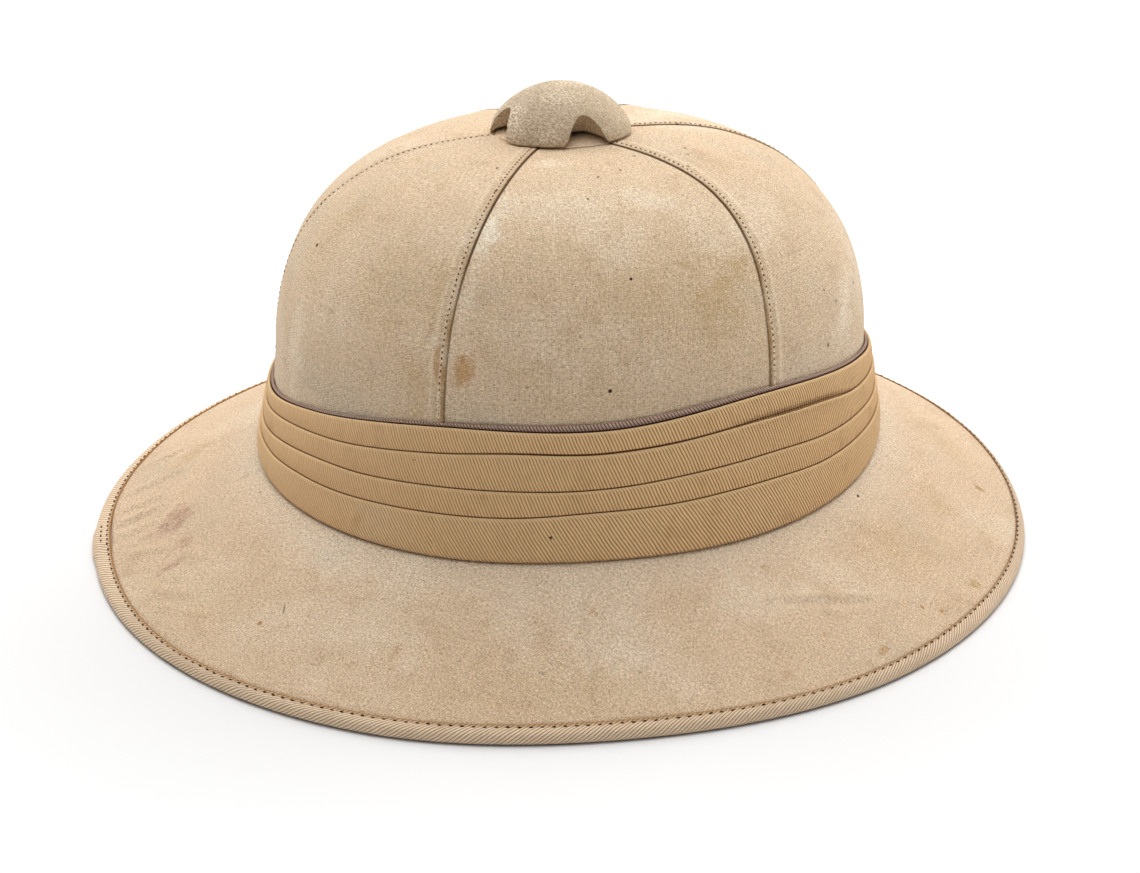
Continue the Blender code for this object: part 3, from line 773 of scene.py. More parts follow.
def makeCrown(material):
    look = seamLook
    pieces = []
    slope = np.linspace(0.0, pi / 2, crown["rows"])
    reach = (1.0 - np.cos(slope) ** helmet["topPower"]) ** (1.0 / helmet["sidePower"])
    reach = reach[reach > crown["reachFrom"]][:, None]
    share = 0.5 - 0.5 * np.cos(np.linspace(0.0, pi, crown["columns"]))[None, :]
    drops = np.array(crown["wallDrops"])[:, None]
    rows = np.append(np.arange(len(reach)), [len(reach) - 1] * len(drops))
    lap = crown["lapWidth"]
    stitch = crown["stitchFrom"]
    for gore in range(6):
        first = seamTurn(gore, reach)
        last = seamTurn(gore + 1, reach)
        span = np.radians(last - first) * reach * helmet["crownHalf"][0]
        gap = crown["seamGap"] / span
        turn = first + (last - first) * (gap + (1.0 - 2.0 * gap) * share)
        outer = np.concatenate([crownPoint(turn, reach), wallPoint(turn[-1:], drops)])
        fromFirst = (share * span)[rows]
        fromLast = ((1.0 - share) * span)[rows]
        lift = crown["wave"] * ripple(outer, crown["waveSize"], 1)
        small = crown["smallWave"]
        lift += small * crown["wave"] * ripple(outer, small * crown["waveSize"], 2)
        crease, tinted, paled = np.zeros((3, *lift.shape))
        # the seams are darker and wider towards the top
        topness = ease(outer[..., 2], look["topFrom"], look["topFull"])
        patchy = look["patchyMean"] + look["patchySpan"] * ripple(outer, look["patchySize"], 4)
        patchy = np.clip(patchy, look["patchyLeast"], 1.0)
        for distance, seam, upper in ((fromFirst, gore, 1), (fromLast, (gore + 1) % 6, -1)):
            if seamLaps[seam] == upper:
                # the folded edge of the lap is painted darker, as painted shade
                dark = look["fold"] + look["foldTop"] * topness
                crease = np.maximum(crease, dark * ease(distance, look["foldWidth"], 0.0))
                turned = (look["turned"] + look["turnedTop"] * topness) * patchy
                turned = turned * ease(distance, *(stitch + edge for edge in look["turnedEdge"]))
                lapped = look["lap"] * ease(distance, lap + look["lapPast"], look["lapFull"]) * patchy
                tinted = np.maximum(tinted, np.maximum(turned, lapped))
                sewn = look["sewn"] * bell(distance - stitch, look["sewnWidth"]) * (1.0 - look["sewnTop"] * topness)
                ended = look["lapPale"] * bell(distance - lap, look["lapPaleWidth"])
                paled = np.maximum(paled, np.maximum(sewn, ended))
                raised = ease(distance, *crown["lapRise"])
                raised = raised * ease(distance, *(lap + edge for edge in crown["lapFall"]))
                pulled = bell(distance - stitch, crown["pullWidth"])
                lift += crown["lapHeight"] * raised - crown["stitchPull"] * pulled
            else:
                # beside the lap's edge the gore below gets a painted shadow line
                line = crown["lineWidth"] + crown["lineWider"] * topness
                shows = seamShows[seam] * (look["line"] + look["lineTop"] * topness)
                line = ease(distance, *(line + edge for edge in crown["lineSoft"]))
                crease = np.maximum(crease, shows * line)
                lift -= crown["underDrop"] * ease(distance, *crown["dropReach"])
        normal = facing(outer)
        top = outer + normal * lift[..., None]
        under = outer - normal * (crown["thick"] - np.minimum(lift, 0.0))[..., None]
        along = 0.5 * (fromFirst - fromLast) + 0.2 * gore
        down = runLength(outer[:, [outer.shape[1] // 2]], 0)
        uvs = wrapped(np.stack(np.broadcast_arrays(along, down), -1))
        piece = sectionPiece(f"crown_cloth_{gore + 1}", skinBetween(top, under), uvs, material)
        addMasks(piece, crease=wrapped(crease), tinted=wrapped(tinted), paled=wrapped(paled))
        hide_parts(f"crown_gore_{gore + 1}")
        pieces.append(piece)
    return pieces


brim = {
    "columns": 480, "rows": 40, "thick": 0.00095, "middle": 0.13, "underBand": 0.0019, "underTape": 0.0001,
    "flatEdges": (0.04, 0.97), "wave": 0.00028, "waveSize": 0.022, "smallWave": 0.35, "smallSize": 0.007,
    "wavyTurn": 300.0, "wavySpread": 30.0, "wavyHeight": 0.00034, "wavyScale": (0.30, 9.0), "wavyFrom": (0.15, 0.5),
    "joinTurn": 25.6, "joinDeep": 0.00014, "joinWidth": 0.0006, "joinReach": (0.050, 0.040), "joinDark": 0.10,
    "paleRing": (0.018, 0.002), "paleShare": 0.30, "foldsFrom": 0.163, "foldHollow": 0.6,
    # folds in the cloth: turn and distance in from the rim where each starts and ends, width, height
    "folds": ((301.2, 0.0065, 301.8, 0.0235, 0.0014, 0.00120), (297.6, 0.0075, 299.0, 0.0260, 0.0016, 0.00100),
              (304.6, 0.0070, 305.8, 0.0200, 0.0013, 0.00090), (310.7, 0.0080, 314.8, 0.0250, 0.0018, 0.00080),
              (321.0, 0.0100, 330.2, 0.0230, 0.0014, 0.00060), (325.0, 0.0090, 335.2, 0.0200, 0.0013, 0.00050),
              (292.6, 0.0070, 291.6, 0.0300, 0.0018, 0.00090), (52.6, 0.0380, 71.8, 0.0215, 0.0014, 0.00110),
              (60.8, 0.0250, 76.2, 0.0160, 0.0013, 0.00050), (284.6, 0.0070, 282.6, 0.0260, 0.0016, 0.00080)),
}


def tapeWidth(turn):
    return roundValue(binding["stitch"], turn) + roundValue(binding["beyond"], turn)


def foldLift(turns, inward):
    def flat(turn, depth):
        return np.array(ringPlace(turn, brim["foldsFrom"] - depth, brim["foldsFrom"] - depth))

    lift = np.zeros(inward.shape)
    place = flat(turns, inward)
    for startTurn, startIn, endTurn, endIn, width, height in brim["folds"]:
        start = flat(startTurn, startIn)
        run = flat(endTurn, endIn) - start
        x, y = place - start[:, None, None]
        share = (x * run[0] + y * run[1]) / (run @ run)
        beside = (x * run[1] - y * run[0]) / np.linalg.norm(run)
        along = ease(share, -0.1, 0.25) * ease(share, 1.1, 0.6)
        lift += height * along * (bell(beside, width) - brim["foldHollow"] * bell(beside - width, width))
    return lift


def makeBrim(material):
    turn = roundTurns(brim["columns"])
    share = np.linspace(0.0, 1.0, brim["rows"])[None, :]
    start = brimWidth(turn)[:, None] + brim["underBand"]
    edge = tapeWidth(turn)[:, None] - brim["underTape"]
    inward = start + (edge - start) * share
    turns = np.broadcast_to(turn[:, None], inward.shape)
    outer = brimPoint(turns, inward)
    lift = brim["wave"] * ripple(outer, brim["waveSize"], 5)
    lift += brim["smallWave"] * brim["wave"] * ripple(outer, brim["smallSize"], 6)
    # soft folds that run out over the brim on the wearer's right
    around, across = brim["wavyScale"]
    creases = brim["wavyHeight"] * ripple(vec(turns * around, inward * across, 0.0), 1.0, 7)
    creases = creases * bell(turnFrom(turns, brim["wavyTurn"]), brim["wavySpread"])
    lift += creases * ease(share, *brim["wavyFrom"])
    lift += foldLift(turns, inward)
    # the cover is joined along one line at the front
    join = bell(np.radians(turns - brim["joinTurn"]) * brim["middle"], brim["joinWidth"])
    join = join * ease(inward, *brim["joinReach"])
    lift -= brim["joinDeep"] * join
    first, last = brim["flatEdges"]
    lift = lift * ease(share, 0.0, first) * ease(share, 1.0, last)
    normal = facing(outer)
    section = skinBetween(outer + normal * lift[..., None], outer - normal * brim["thick"])
    span = 2 * pi * brim["middle"]
    piece = sectionPiece("brim_cloth", section, wrapped(ringUvs(turn, span, inward)), material, span)
    paled = brim["paleShare"] * ease(start - inward, *brim["paleRing"])
    addMasks(piece, crease=wrapped(brim["joinDark"] * join), paled=wrapped(paled))
    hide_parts("brim_cover")
    return piece


band = {
    "columns": 480, "thick": 0.0009, "firstProud": 0.0022, "step": 0.0007, "tuck": 0.0022, "middle": 0.108,
    "clear": 0.0012, "noseOut": 0.00012, "grooveDeep": 0.00014, "bulge": 0.00035, "wander": 0.00030,
    # where the second, third and fourth fold lap over the one above, at every 15 degrees
    "lines": (
        (0.20, 0.16, 0.17, 0.17, 0.17, 0.18, 0.22, 0.21, 0.20, 0.20, 0.20, 0.20, 0.20, 0.20, 0.20, 0.20, 0.20, 0.20,
         0.20, 0.20, 0.19, 0.19, 0.20, 0.21),
        (0.44, 0.44, 0.43, 0.42, 0.42, 0.44, 0.44, 0.44, 0.44, 0.44, 0.44, 0.44, 0.44, 0.44, 0.45, 0.45, 0.46, 0.46,
         0.46, 0.46, 0.46, 0.43, 0.41, 0.44),
        (0.64, 0.63, 0.60, 0.60, 0.60, 0.63, 0.62, 0.63, 0.63, 0.63, 0.64, 0.64, 0.64, 0.64, 0.64, 0.64, 0.64, 0.63,
         0.63, 0.63, 0.63, 0.63, 0.63, 0.64),
    ),
    "slackTurn": 70.0, "slackSpread": 15.0, "slackProud": 0.0007, "boldTurn": 30.0,
    # rows of each fold: the angles round its upper edge, the rows down its face, and those near the next fold
    "edgeAngles": (180, 140, 100, 60, 25), "faceRows": 22,
    "nearLine": (-0.00070, -0.00045, -0.00025, -0.00010, 0.00010, 0.00050),
    "nearest": 0.0008, "noseDeep": 0.0016, "grooveFrom": -0.0005, "grooveTo": 0.0003, "endDrop": 0.0004,
    "endFrom": -0.0015,
    # the slack fold's groove is deeper and begins further up
    "slackDeep": 0.0002, "slackReach": 0.0025,
    # how strongly the ribs of the twill show, evenly spaced round the band
    "ribs": (0.70, 0.82, 1.00, 1.00, 1.00, 0.80, 0.60, 0.55, 0.55, 0.60),
    # how much of the darker edge shows above the first fold, at every 30 degrees
    "edgeShows": (0.42, 0.98, 0.56, 0.32, 0.40, 0.50, 0.50, 0.40, 0.45, 0.75, 0.42, 0.16),
    # the darker edge's section: how far down, how proud, how dark with painted shadow
    "edgeRows": (
        (-0.0020, 0.0003, 0.25), (-0.0021, 0.0006, 0.10), (-0.0016, 0.0010, 0.0), (-0.0005, 0.0011, 0.30),
        (-0.0001, 0.0010, 0.97), (0.0004, 0.0009, 1.0), (0.0018, 0.0008, 1.0), (0.0018, 0.0001, 0.0),
        (0.0, 0.0001, 0.0), (-0.0016, 0.0001, 0.0)),
}


# the painted shadow line where the next fold laps over: its strength, its edges, and how much bolder it is at the
# bold turn; painted shade in the slack fold's hollow, on the back of each fold's upper edge and at the foot of the
# last fold; and how far down each fold's upper edge gets its painted highlight
lineLook = {"dark": 0.72, "edges": (-0.00044, -0.00018), "bolder": 0.26, "bolderSpread": 50.0, "wider": 0.00028,
            "widerSpread": 24.0, "slackLess": 0.80, "slackEdge": 0.0001, "slackDark": 0.34,
            "slackShade": (0.0020, 0.0012), "behind": 0.75, "behindFrom": 150, "end": 0.45, "endFrom": -0.0008,
            "rubbed": (0.0007, 0.0003)}


def foldLines(turn, high):
    # where each fold begins and the last one ends, below the band's upper edge
    lines = [np.zeros_like(turn)]
    x, y = ringPlace(turn, 4.0, 4.0)
    for fold, shares in enumerate(band["lines"], 1):
        wobble = ripple(vec(-y, x, fold * 3.0), 1.0, 11)
        lines.append(roundValue(shares, turn) * high + band["wander"] * wobble)
    return lines + [high - band["clear"]]


def slack(turn):
    return np.exp(-(turnFrom(turn, band["slackTurn"]) / band["slackSpread"]) ** 4)


def foldRows(fold, turn, top, tall):
    # the section of one fold: how far down, how proud, how dark with painted shade, how strongly its upper edge is
    # painted lit, and the run along the cloth
    look = lineLook
    half = band["thick"] / 2
    loose = slack(turn)
    lapped = fold < 3
    fromBold = turnFrom(turn, band["boldTurn"])
    proud = band["firstProud"] + fold * band["step"]
    nose = proud + (band["noseOut"] if fold else 0.0) + (band["slackProud"] * loose if fold == 1 else 0.0)
    rows = []
    # the folded upper edge, from behind over the top: on all but the first fold its back is in painted shade, and its
    # front has a painted highlight
    for angle in band["edgeAngles"]:
        dark = look["behind"] if angle > look["behindFrom"] and fold else 0.0
        rows.append((top + half - half * sin(radians(angle)), nose - half + half * cos(radians(angle)),
                     dark, float(angle < look["behindFrom"]), top - half * radians(angle)))
    count = band["faceRows"] - (len(band["nearLine"]) + 1) * lapped
    depths = [half + (tall - half) * step / (count + lapped) for step in range(1, count + 1)]
    if lapped:
        # closer rows near the line where the next fold begins
        depths = [np.minimum(depth, tall - band["nearest"]) for depth in depths]
        depths += [tall + past for past in (*band["nearLine"], band["tuck"])]
    for depth in depths:
        past = depth - tall
        face = proud + (nose - proud) * np.exp(-depth / band["noseDeep"])
        face = face + band["bulge"] * np.sin(pi * np.clip(depth / tall, 0.0, 1.0))
        if lapped:
            apart = loose if fold == 0 else 0.0
            groove = ease(past, band["grooveFrom"] - band["slackReach"] * apart, band["grooveTo"])
            face = face - (band["grooveDeep"] + band["slackDeep"] * apart) * groove
            wider = look["wider"] * bell(fromBold, look["widerSpread"]) if fold == 0 else 0.0
            line = look["dark"] + look["bolder"] * bell(fromBold, look["bolderSpread"])
            line = line * ease(past, *(edge - wider for edge in look["edges"]))
            line = line * (1.0 - look["slackLess"] * apart * ease(past, -look["slackEdge"], look["slackEdge"]))
            dark = np.maximum(line, look["slackDark"] * apart * ease(-past, *look["slackShade"]))
        else:
            face = face - band["endDrop"] * ease(past, band["endFrom"], 0.0)
            dark = look["end"] * ease(past, look["endFrom"], 0.0)
        rows.append((top + depth, face, dark, ease(depth, *look["rubbed"]), top + depth))
    # the back of the fold, with every second row
    rows += [(down, face - band["thick"], dark, 0.0, run) for down, face, dark, _, run in rows[::-2][:-2]]
    return [np.stack([value + np.zeros_like(turn) for value in column], axis=1) for column in zip(*rows)]


def makeBand(material):
    turn = roundTurns(band["columns"])
    column = turn[:, None]
    high = bandHeight(turn)
    lines = foldLines(turn, high)
    span = 2 * pi * band["middle"]
    pieces = []
    for fold in range(4):
        tall = lines[fold + 1] - lines[fold]
        down, face, dark, rubbed, run = foldRows(fold, turn, lines[fold], tall)
        grid = bandPoint(column, down / high[:, None], face)
        piece = sectionPiece(f"band_pleat_{fold + 1}", grid, ringUvs(turn, span, run), material, span)
        ribbed = np.broadcast_to(roundValue(band["ribs"], column), run.shape)
        addMasks(piece, crease=dark, rubbed=rubbed, ribbed=ribbed)
        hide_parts(f"band_fold_{fold + 1}")
        pieces.append(piece)
    # the darker edge that shows above the first fold
    down, proud, dark = np.array(band["edgeRows"]).T
    risen = np.where(down < 0.0, down * roundValue(band["edgeShows"], column), down)
    grid = bandPoint(column, risen / high[:, None], np.broadcast_to(proud, risen.shape))
    strip = sectionPiece("band_upper_edge", grid, ringUvs(turn, span, down), material, span)
    addMasks(strip, crease=np.broadcast_to(dark, risen.shape), ribbed=np.ones(risen.shape))
    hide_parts("band_edge")
    return pieces, strip


binding = {
    "columns": 720, "proud": 0.0005, "middle": 0.162, "wave": 0.00010, "waveSize": 0.012,
    # the thicker join: its turn and height, and from where to where it rises on either side, in degrees
    "joinTurn": 303.1, "joinProud": 0.0007, "joinStart": (-4.6, -2.2), "joinEnd": (5.2, 2.2), "joinIn": 0.006,
    # how far in from the rim the stitches run, and how much further the tape reaches, each evenly spaced round it
    "stitch": (0.0033, 0.0033, 0.0028, 0.0033, 0.0026, 0.0018, 0.0020, 0.0028, 0.0034, 0.0034, 0.0036, 0.0040, 0.0045,
               0.0024),
    "beyond": (0.0010, 0.0010, 0.0007, 0.0004, 0.0004, 0.0004, 0.0005, 0.0008, 0.0010),
    # the short second row of stitches over the join: from and to which turn, how far in, how many points
    "shortRow": (300.8, 304.6, 0.0026, 30),
    # its section on top: how much of the tape's width and of the way to the stitches, how much further in, how far
    # over its face
    "topRows": (
        (1, 0, -0.0008, -0.0008), (1, 0, -0.0001, -0.0006), (1, 0, 0.0, -0.0002), (1, 0, -0.0003, 0.0),
        (0, 1, 0.0003, -0.00005), (0, 1, 0.0, -0.00022), (0, 1, -0.0005, -0.00005), (0, 0.62, 0.0, 0.00010),
        (0, 0.36, 0.0, 0.00008), (0, 0, 0.0006, -0.00012), (0, 0, 0.0003, -0.0004)),
    # round the edge and underneath: how far in, how high
    "lowRows": (
        (0.0001, 0.0026), (-0.0001, 0.0020), (-0.0001, 0.0014), (0.0001, 0.0009), (0.0005, 0.0004), (0.0010, 0.0001),
        (0.0016, 0.0), (0.0033, 0.0), (0.0046, 0.0004), (0.0056, 0.0009), (0.0057, 0.0014), (0.0055, 0.0018),
        (0.0035, 0.0014), (0.0013, 0.0012)),
    "insideRows": ((0, 0, 0.0013, -0.0010), (0.6, 0, 0.0, -0.0010)),
    # how dark the first rows are, partly painted shade, and how dark the rows under the edge are: a painted contact
    # shadow over the dark red underside
    "dark": (0.90, 0.95, 1.0, 0.90, 0.45, 0.30), "edgeHighlightAndShadeFrom": 14, "edgeHighlightAndShade": (0.10, 0.95, 1.0, 1.0, 1.0, 0.8),
}


def makeBinding(material):
    turn = roundTurns(binding["columns"])
    joint = turnFrom(turn, binding["joinTurn"])
    extra = binding["joinProud"] * ease(joint, *binding["joinStart"]) * ease(joint, *binding["joinEnd"])
    wave = binding["wave"] * ripple(rimPoint(turn), binding["waveSize"], 9)
    stitch = roundValue(binding["stitch"], turn)
    width = tapeWidth(turn)

    def onTop(widths, stitches, further, over):
        return brimPoint(turn, widths * width + stitches * stitch + further, binding["proud"] + over + extra + wave)

    def below(inward, height):
        point = brimPoint(turn, inward - extra * (1.0 - inward / binding["joinIn"]))
        point[..., 2] = height
        return point

    rows = [onTop(*row) for row in binding["topRows"]]
    rows += [below(*row) for row in binding["lowRows"]]
    rows += [onTop(*row) for row in binding["insideRows"]]
    grid = np.stack(rows, axis=1)
    run = runLength(grid, 1)
    span = lineUp(2 * pi * binding["middle"], tapeLook["rib"] / sin(radians(tapeLook["slant"])))
    piece = sectionPiece("rim_tape", grid, ringUvs(turn, span, run[:1]), material, span)
    crease, rubbed = np.zeros((2, *run.shape))
    crease[:, :len(binding["dark"])] = binding["dark"]
    rubbed[:, binding["edgeHighlightAndShadeFrom"]:][:, :len(binding["edgeHighlightAndShade"])] = binding["edgeHighlightAndShade"]
    addMasks(piece, crease=crease, rubbed=rubbed, ribbed=np.ones(run.shape))
    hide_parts("brim_binding")
    return piece


# a domed cap that dips in lobes and arches up in scallops between them; under each scallop it turns in to a neck
cap = {"Radius": 0.0233, "Height": 0.0159, "Rise Power": 1.65, "Round Power": 1.80, "Lobes": 4, "Lobe Drop": -0.045,
       "Scallop Half Turn": 17.4, "Scallop Height": 0.54, "Neck Radius": 0.0120, "Neck Level": 0.10,
       "Lip": 0.0009, "Tilt": 0.05, "Dents": 0.0006, "Columns": 129, "Rows": 30}
capLift = 0.0007
capFineness = 1


def capTree():
    inputs = {"Geometry": "Geometry", **cap, "Material": "Material"}
    given, out = newGroup("lobedCap", inputs, {"Geometry": "Geometry"}, "Geometry")
    tree = out.id_data
    tree.is_modifier = True

    def mixed(share, first, second):
        return timesPlus(share, minus(second, first), first)

    def power(value, exponent):
        return maths("POWER", value, exponent)

    # the grid runs once round the cap in x, and from its middle to its lower edge in y
    place = split(tree.nodes.new("GeometryNodeInputPosition").outputs[0])
    turn = timesPlus(place[0], 2 * pi, pi)
    share = plus(place[1], 0.5)
    pitch = maths("DIVIDE", 2 * pi, given["Lobes"])
    away = maths("ABSOLUTE", timesPlus(pitch, -0.5, maths("MODULO", turn, pitch)))
    away = maths("DIVIDE", away, maths("RADIANS", given["Scallop Half Turn"]))
    arch = power(maths("MAXIMUM", minus(1.0, power(away, 2.2)), 0.0), 0.65)
    drop = timesPlus(maths("SINE", turn), given["Tilt"], given["Lobe Drop"])
    edge = mixed(arch, drop, given["Scallop Height"])

    def domeRadius(level):
        low = maths("MAXIMUM", level, 0.0)
        left = maths("MAXIMUM", minus(1.0, power(low, given["Rise Power"])), 0.0)
        left = power(left, maths("DIVIDE", 1.0, given["Round Power"]))
        return times(left, given["Radius"])

    def skin(radius, level):
        inputs = {"Size X": 1.0, "Size Y": 1.0, "Vertices X": given["Columns"], "Vertices Y": given["Rows"]}
        grid = nodeFor("GeometryNodeMeshGrid", inputs)
        x = times(radius, maths("SINE", turn))
        y = times(radius, times(maths("COSINE", turn), -1.0))
        point = joined(x, y, times(level, given["Height"]))
        return nodeFor("GeometryNodeSetPosition", {"Geometry": grid, "Position": point})

    level = mixed(power(share, 1.8), 1.0, edge)
    outside = skin(domeRadius(level), level)
    # underneath: in from the edge to the neck, then up into the hollow over it
    inward = minus(1.0, share)
    lip = clamped(times(inward, 9.0))
    toNeck = clamped(timesPlus(inward, 1.95, -0.218))
    toMiddle = clamped(timesPlus(inward, 2.6667, -1.6667))
    level = mixed(power(toNeck, timesPlus(arch, 0.8, 0.3)), edge, given["Neck Level"])
    level = timesPlus(maths("SINE", times(toMiddle, pi / 2)), 0.5, level)
    rim = minus(domeRadius(edge), times(lip, given["Lip"]))
    radius = mixed(toNeck, rim, given["Neck Radius"])
    bow = maths("SQRT", minus(1.0, power(toMiddle, 2.0)))
    inside = skin(times(radius, bow), level)
    both = tree.nodes.new("GeometryNodeJoinGeometry")
    tree.links.new(outside, both.inputs[0])
    tree.links.new(inside, both.inputs[0])
    both = nodeFor("GeometryNodeMergeByDistance", {"Geometry": both.outputs[0], "Distance": 0.00002})
    dent = minus(addNode(tree, "ShaderNodeTexNoise", {"Scale": 170.0}).outputs["Fac"], 0.5)
    inputs = {0: tree.nodes.new("GeometryNodeInputNormal").outputs[0], "Scale": times(dent, given["Dents"])}
    offset = nodeFor("ShaderNodeVectorMath", inputs, operation="SCALE")
    both = nodeFor("GeometryNodeSetPosition", {"Geometry": both, "Offset": offset})
    return dressed(tree, both, given, out)


def dressed(tree, shape, given, out):
    # the end of both trees: plain smooth geometry in the given material
    shape = nodeFor("GeometryNodeRealizeInstances", {"Geometry": shape})
    shape = nodeFor("GeometryNodeSetShadeSmooth", {"Geometry": shape})
    shape = nodeFor("GeometryNodeSetMaterial", {"Geometry": shape, "Material": given["Material"]})
    setInputs(out, {0: shape})
    return tree


def grown(name, guide, tree, values, fineness=0):
    # the tree's result on the guide mesh, as a plain mesh on a new object
    guide = newObject(name + "Guide", guide)
    modifier = guide.modifiers.new("grown", "NODES")
    modifier.node_group = tree
    keys = {item.name: item.identifier for item in tree.interface.items_tree if item.in_out == "INPUT"}
    for label, value in values.items():
        modifier[keys[label]] = value
    if fineness:
        finer = guide.modifiers.new("finer", "SUBSURF")
        finer.levels = finer.render_levels = fineness
    bpy.context.view_layer.update()
    result = bpy.data.meshes.new_from_object(guide.evaluated_get(bpy.context.evaluated_depsgraph_get()))
    result.name = name
    piece = newObject(name, result)
    bpy.data.objects.remove(guide, do_unlink=True)
    return piece


capLook = {"light": (0.98, 0.81, 0.61, 1), "dark": (0.50, 0.365, 0.220, 1), "shadedSide": (0.56, 0.41, 0.25, 1),
           "specks": (0.12, 0.08, 0.05, 1), "patch": 0.012, "seed": 2.0, "grain": 1500.0, "bump": 0.00080}


def capFinish():
    material, tree, shader = finish("capCovering", 0.8)
    place = objectPlace(tree)
    mottle = useGroup("mottle", {"Place": place, "Patch Size": capLook["patch"], "Seed": capLook["seed"]})
    grain = cloudy(place, capLook["grain"], 2.0, 0.7)
    colour = blend(spread(mottle["Patches"], 0.62, 0.38, 0.0, 0.45), capLook["light"], capLook["dark"])
    colour = blend(spread(grain, 0.57, 0.43, 0.0, 0.95), colour, capLook["dark"])
    # one side is painted darker: painted shade
    colour = blend(spread(split(place)[0], -0.012, 0.016, 0.0, 0.42), colour, capLook["shadedSide"])
    colour = blend(mottle["Specks"], colour, capLook["specks"])
    dress(shader, colour, plus(grain, mottle["Blotches"]), capLook["bump"])
    return material


def makeCap(material):
    guide = bpy.data.meshes.new("capGuide")
    piece = grown("ventilator_cap", guide, capTree(), dict(cap, Material=material), capFineness)
    mesh = piece.data
    places = np.empty(len(mesh.vertices) * 3, dtype=np.float32)
    mesh.vertices.foreach_get("co", places)
    places = leanOver(places.reshape(-1, 3) + np.array((*helmet["seamMeet"], helmet["crownRise"] + capLift)))
    mesh.vertices.foreach_set("co", places.astype(np.float32).reshape(-1))
    facesOut(mesh)
    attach(piece, "root")
    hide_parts("vent_cap")


# the low round seat under the cap: its section, as radius and height over the cloth
seat = {"columns": 128, "radius": 0.0215, "rows": (
    (0.0080, 0.0001), (0.0080, 0.0013), (0.0150, 0.0012), (0.0190, 0.0008), (0.0206, 0.00048), (0.0214, 0.00028),
    (0.0218, 0.00010), (0.0215, -0.0001), (0.0205, -0.0001))}


def makeSeat(material):
    turn = roundTurns(seat["columns"])
    radius, lift = np.array(seat["rows"]).T
    x, y = ringPlace(turn[:, None], radius, radius, helmet["seamMeet"])
    grid = leanOver(vec(x, y, domeHeight(x, y) + lift))
    span = 2 * pi * seat["radius"]
    piece = sectionPiece("ventilator_seat", grid, ringUvs(turn, span, runLength(grid, 1)), material, span)
    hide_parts("vent_seat")
    return piece


pithLook = {"light": (0.66, 0.57, 0.43, 1), "dark": (0.50, 0.41, 0.29, 1), "strips": (40.0, 40.0, 90.0),
            "bump": 0.0006}


def pithFinish():
    # the bare moulded pith inside, pressed together from thin strips
    material, tree, shader = finish("pressedPith", 0.95)
    place = objectPlace(tree)
    inputs = {"Vector": vectors("MULTIPLY", place, pithLook["strips"]), "Scale": 1.0}
    tint = spread(addNode(tree, "ShaderNodeTexVoronoi", inputs).outputs["Color"], 0.0, 1.0)
    pores = cloudy(place, 900.0, 3.0)
    colour = blend(tint, pithLook["light"], pithLook["dark"])
    colour = blend(spread(pores, 0.52, 0.36, 0.0, 0.4), colour, pithLook["dark"])
    dress(shader, colour, plus(pores, tint), pithLook["bump"])
    return material


# the cloth's seams and the tape each have their own thread
seamThread = {"Pitch": 0.0019, "Length": 0.00085, "Thread": 0.00027, "Wander": 0.00006, "Seed": 3}
rimThread = {"Pitch": 0.0034, "Length": 0.00135, "Thread": 0.00030, "Wander": 0.00009, "Seed": 8}
threadColours = {"seamThread": (0.20, 0.075, 0.012, 1), "rimThread": (0.085, 0.038, 0.008, 1)}
# points along a seam and round the rim, the first place of a stitch up the seam, and how far it sinks in
stitching = {"seamPoints": 90, "rimPoints": 900, "seamFrom": 0.235, "seamLift": 0.00003, "rimLift": 0.00004,
             "search": 0.004}


def stitchTree():
    inputs = {"Geometry": "Geometry", **seamThread, "Material": "Material"}
    given, out = newGroup("stitchRow", inputs, {"Geometry": "Geometry"}, "Geometry")
    tree = out.id_data
    tree.is_modifier = True
    path = nodeFor("GeometryNodeMeshToCurve", {"Mesh": given["Geometry"]})
    inputs = {"Curve": path, "Length": given["Pitch"]}
    path = nodeFor("GeometryNodeResampleCurve", inputs, mode="LENGTH")
    reach = joined(given["Wander"], given["Wander"], given["Wander"])
    inputs = {"Min": vectors("MULTIPLY", reach, (-1, -1, -1)), "Max": reach, "Seed": given["Seed"]}
    random = nodeFor("FunctionNodeRandomValue", inputs, data_type="FLOAT_VECTOR")
    path = nodeFor("GeometryNodeSetPosition", {"Geometry": path, "Offset": random})
    tangent = tree.nodes.new("GeometryNodeInputTangent").outputs[0]
    up = addNode(tree, "GeometryNodeInputNamedAttribute", {"Name": "clothUp"}, data_type="FLOAT_VECTOR").outputs[0]
    turned = nodeFor("FunctionNodeAlignRotationToVector", {"Vector": tangent}, axis="X")
    inputs = {"Rotation": turned, "Vector": up}
    turned = nodeFor("FunctionNodeAlignRotationToVector", inputs, axis="Z", pivot_axis="X")
    bead = addNode(tree, "GeometryNodeMeshUVSphere", {"Segments": 8, "Rings": 6, "Radius": 1.0}).outputs[0]
    size = joined(times(given["Length"], 0.5), given["Thread"], given["Thread"])
    inputs = {"Points": path, "Instance": bead, "Rotation": turned, "Scale": size}
    rows = nodeFor("GeometryNodeInstanceOnPoints", inputs)
    return dressed(tree, rows, given, out)


def stitchRow(name, paths, tree, values):
    # each path is points and the cloth's normals under them, and whether it closes
    edges = []
    start = 0
    for points, _, closed in paths:
        count = len(points)
        edges += [(start + k, start + (k + 1) % count) for k in range(count if closed else count - 1)]
        start += count
    mesh = bpy.data.meshes.new(name + "Path")
    mesh.from_pydata(np.concatenate([path[0] for path in paths]).tolist(), edges, [])
    ups = np.concatenate([path[1] for path in paths]).astype(np.float32)
    mesh.attributes.new("clothUp", "FLOAT_VECTOR", "POINT").data.foreach_set("vector", ups.reshape(-1))
    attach(grown(name, mesh, tree, values), "root")


def threadFinish(name, colour):
    material, tree, shader = finish(name, 0.95, 0.05)
    dark = tuple(0.45 * value for value in colour[:3]) + (1,)
    uneven = spread(cloudy(objectPlace(tree), 500.0, 2.0), 0.4, 0.65)
    setInputs(shader, {"Base Color": blend(uneven, dark, colour)})
    return material


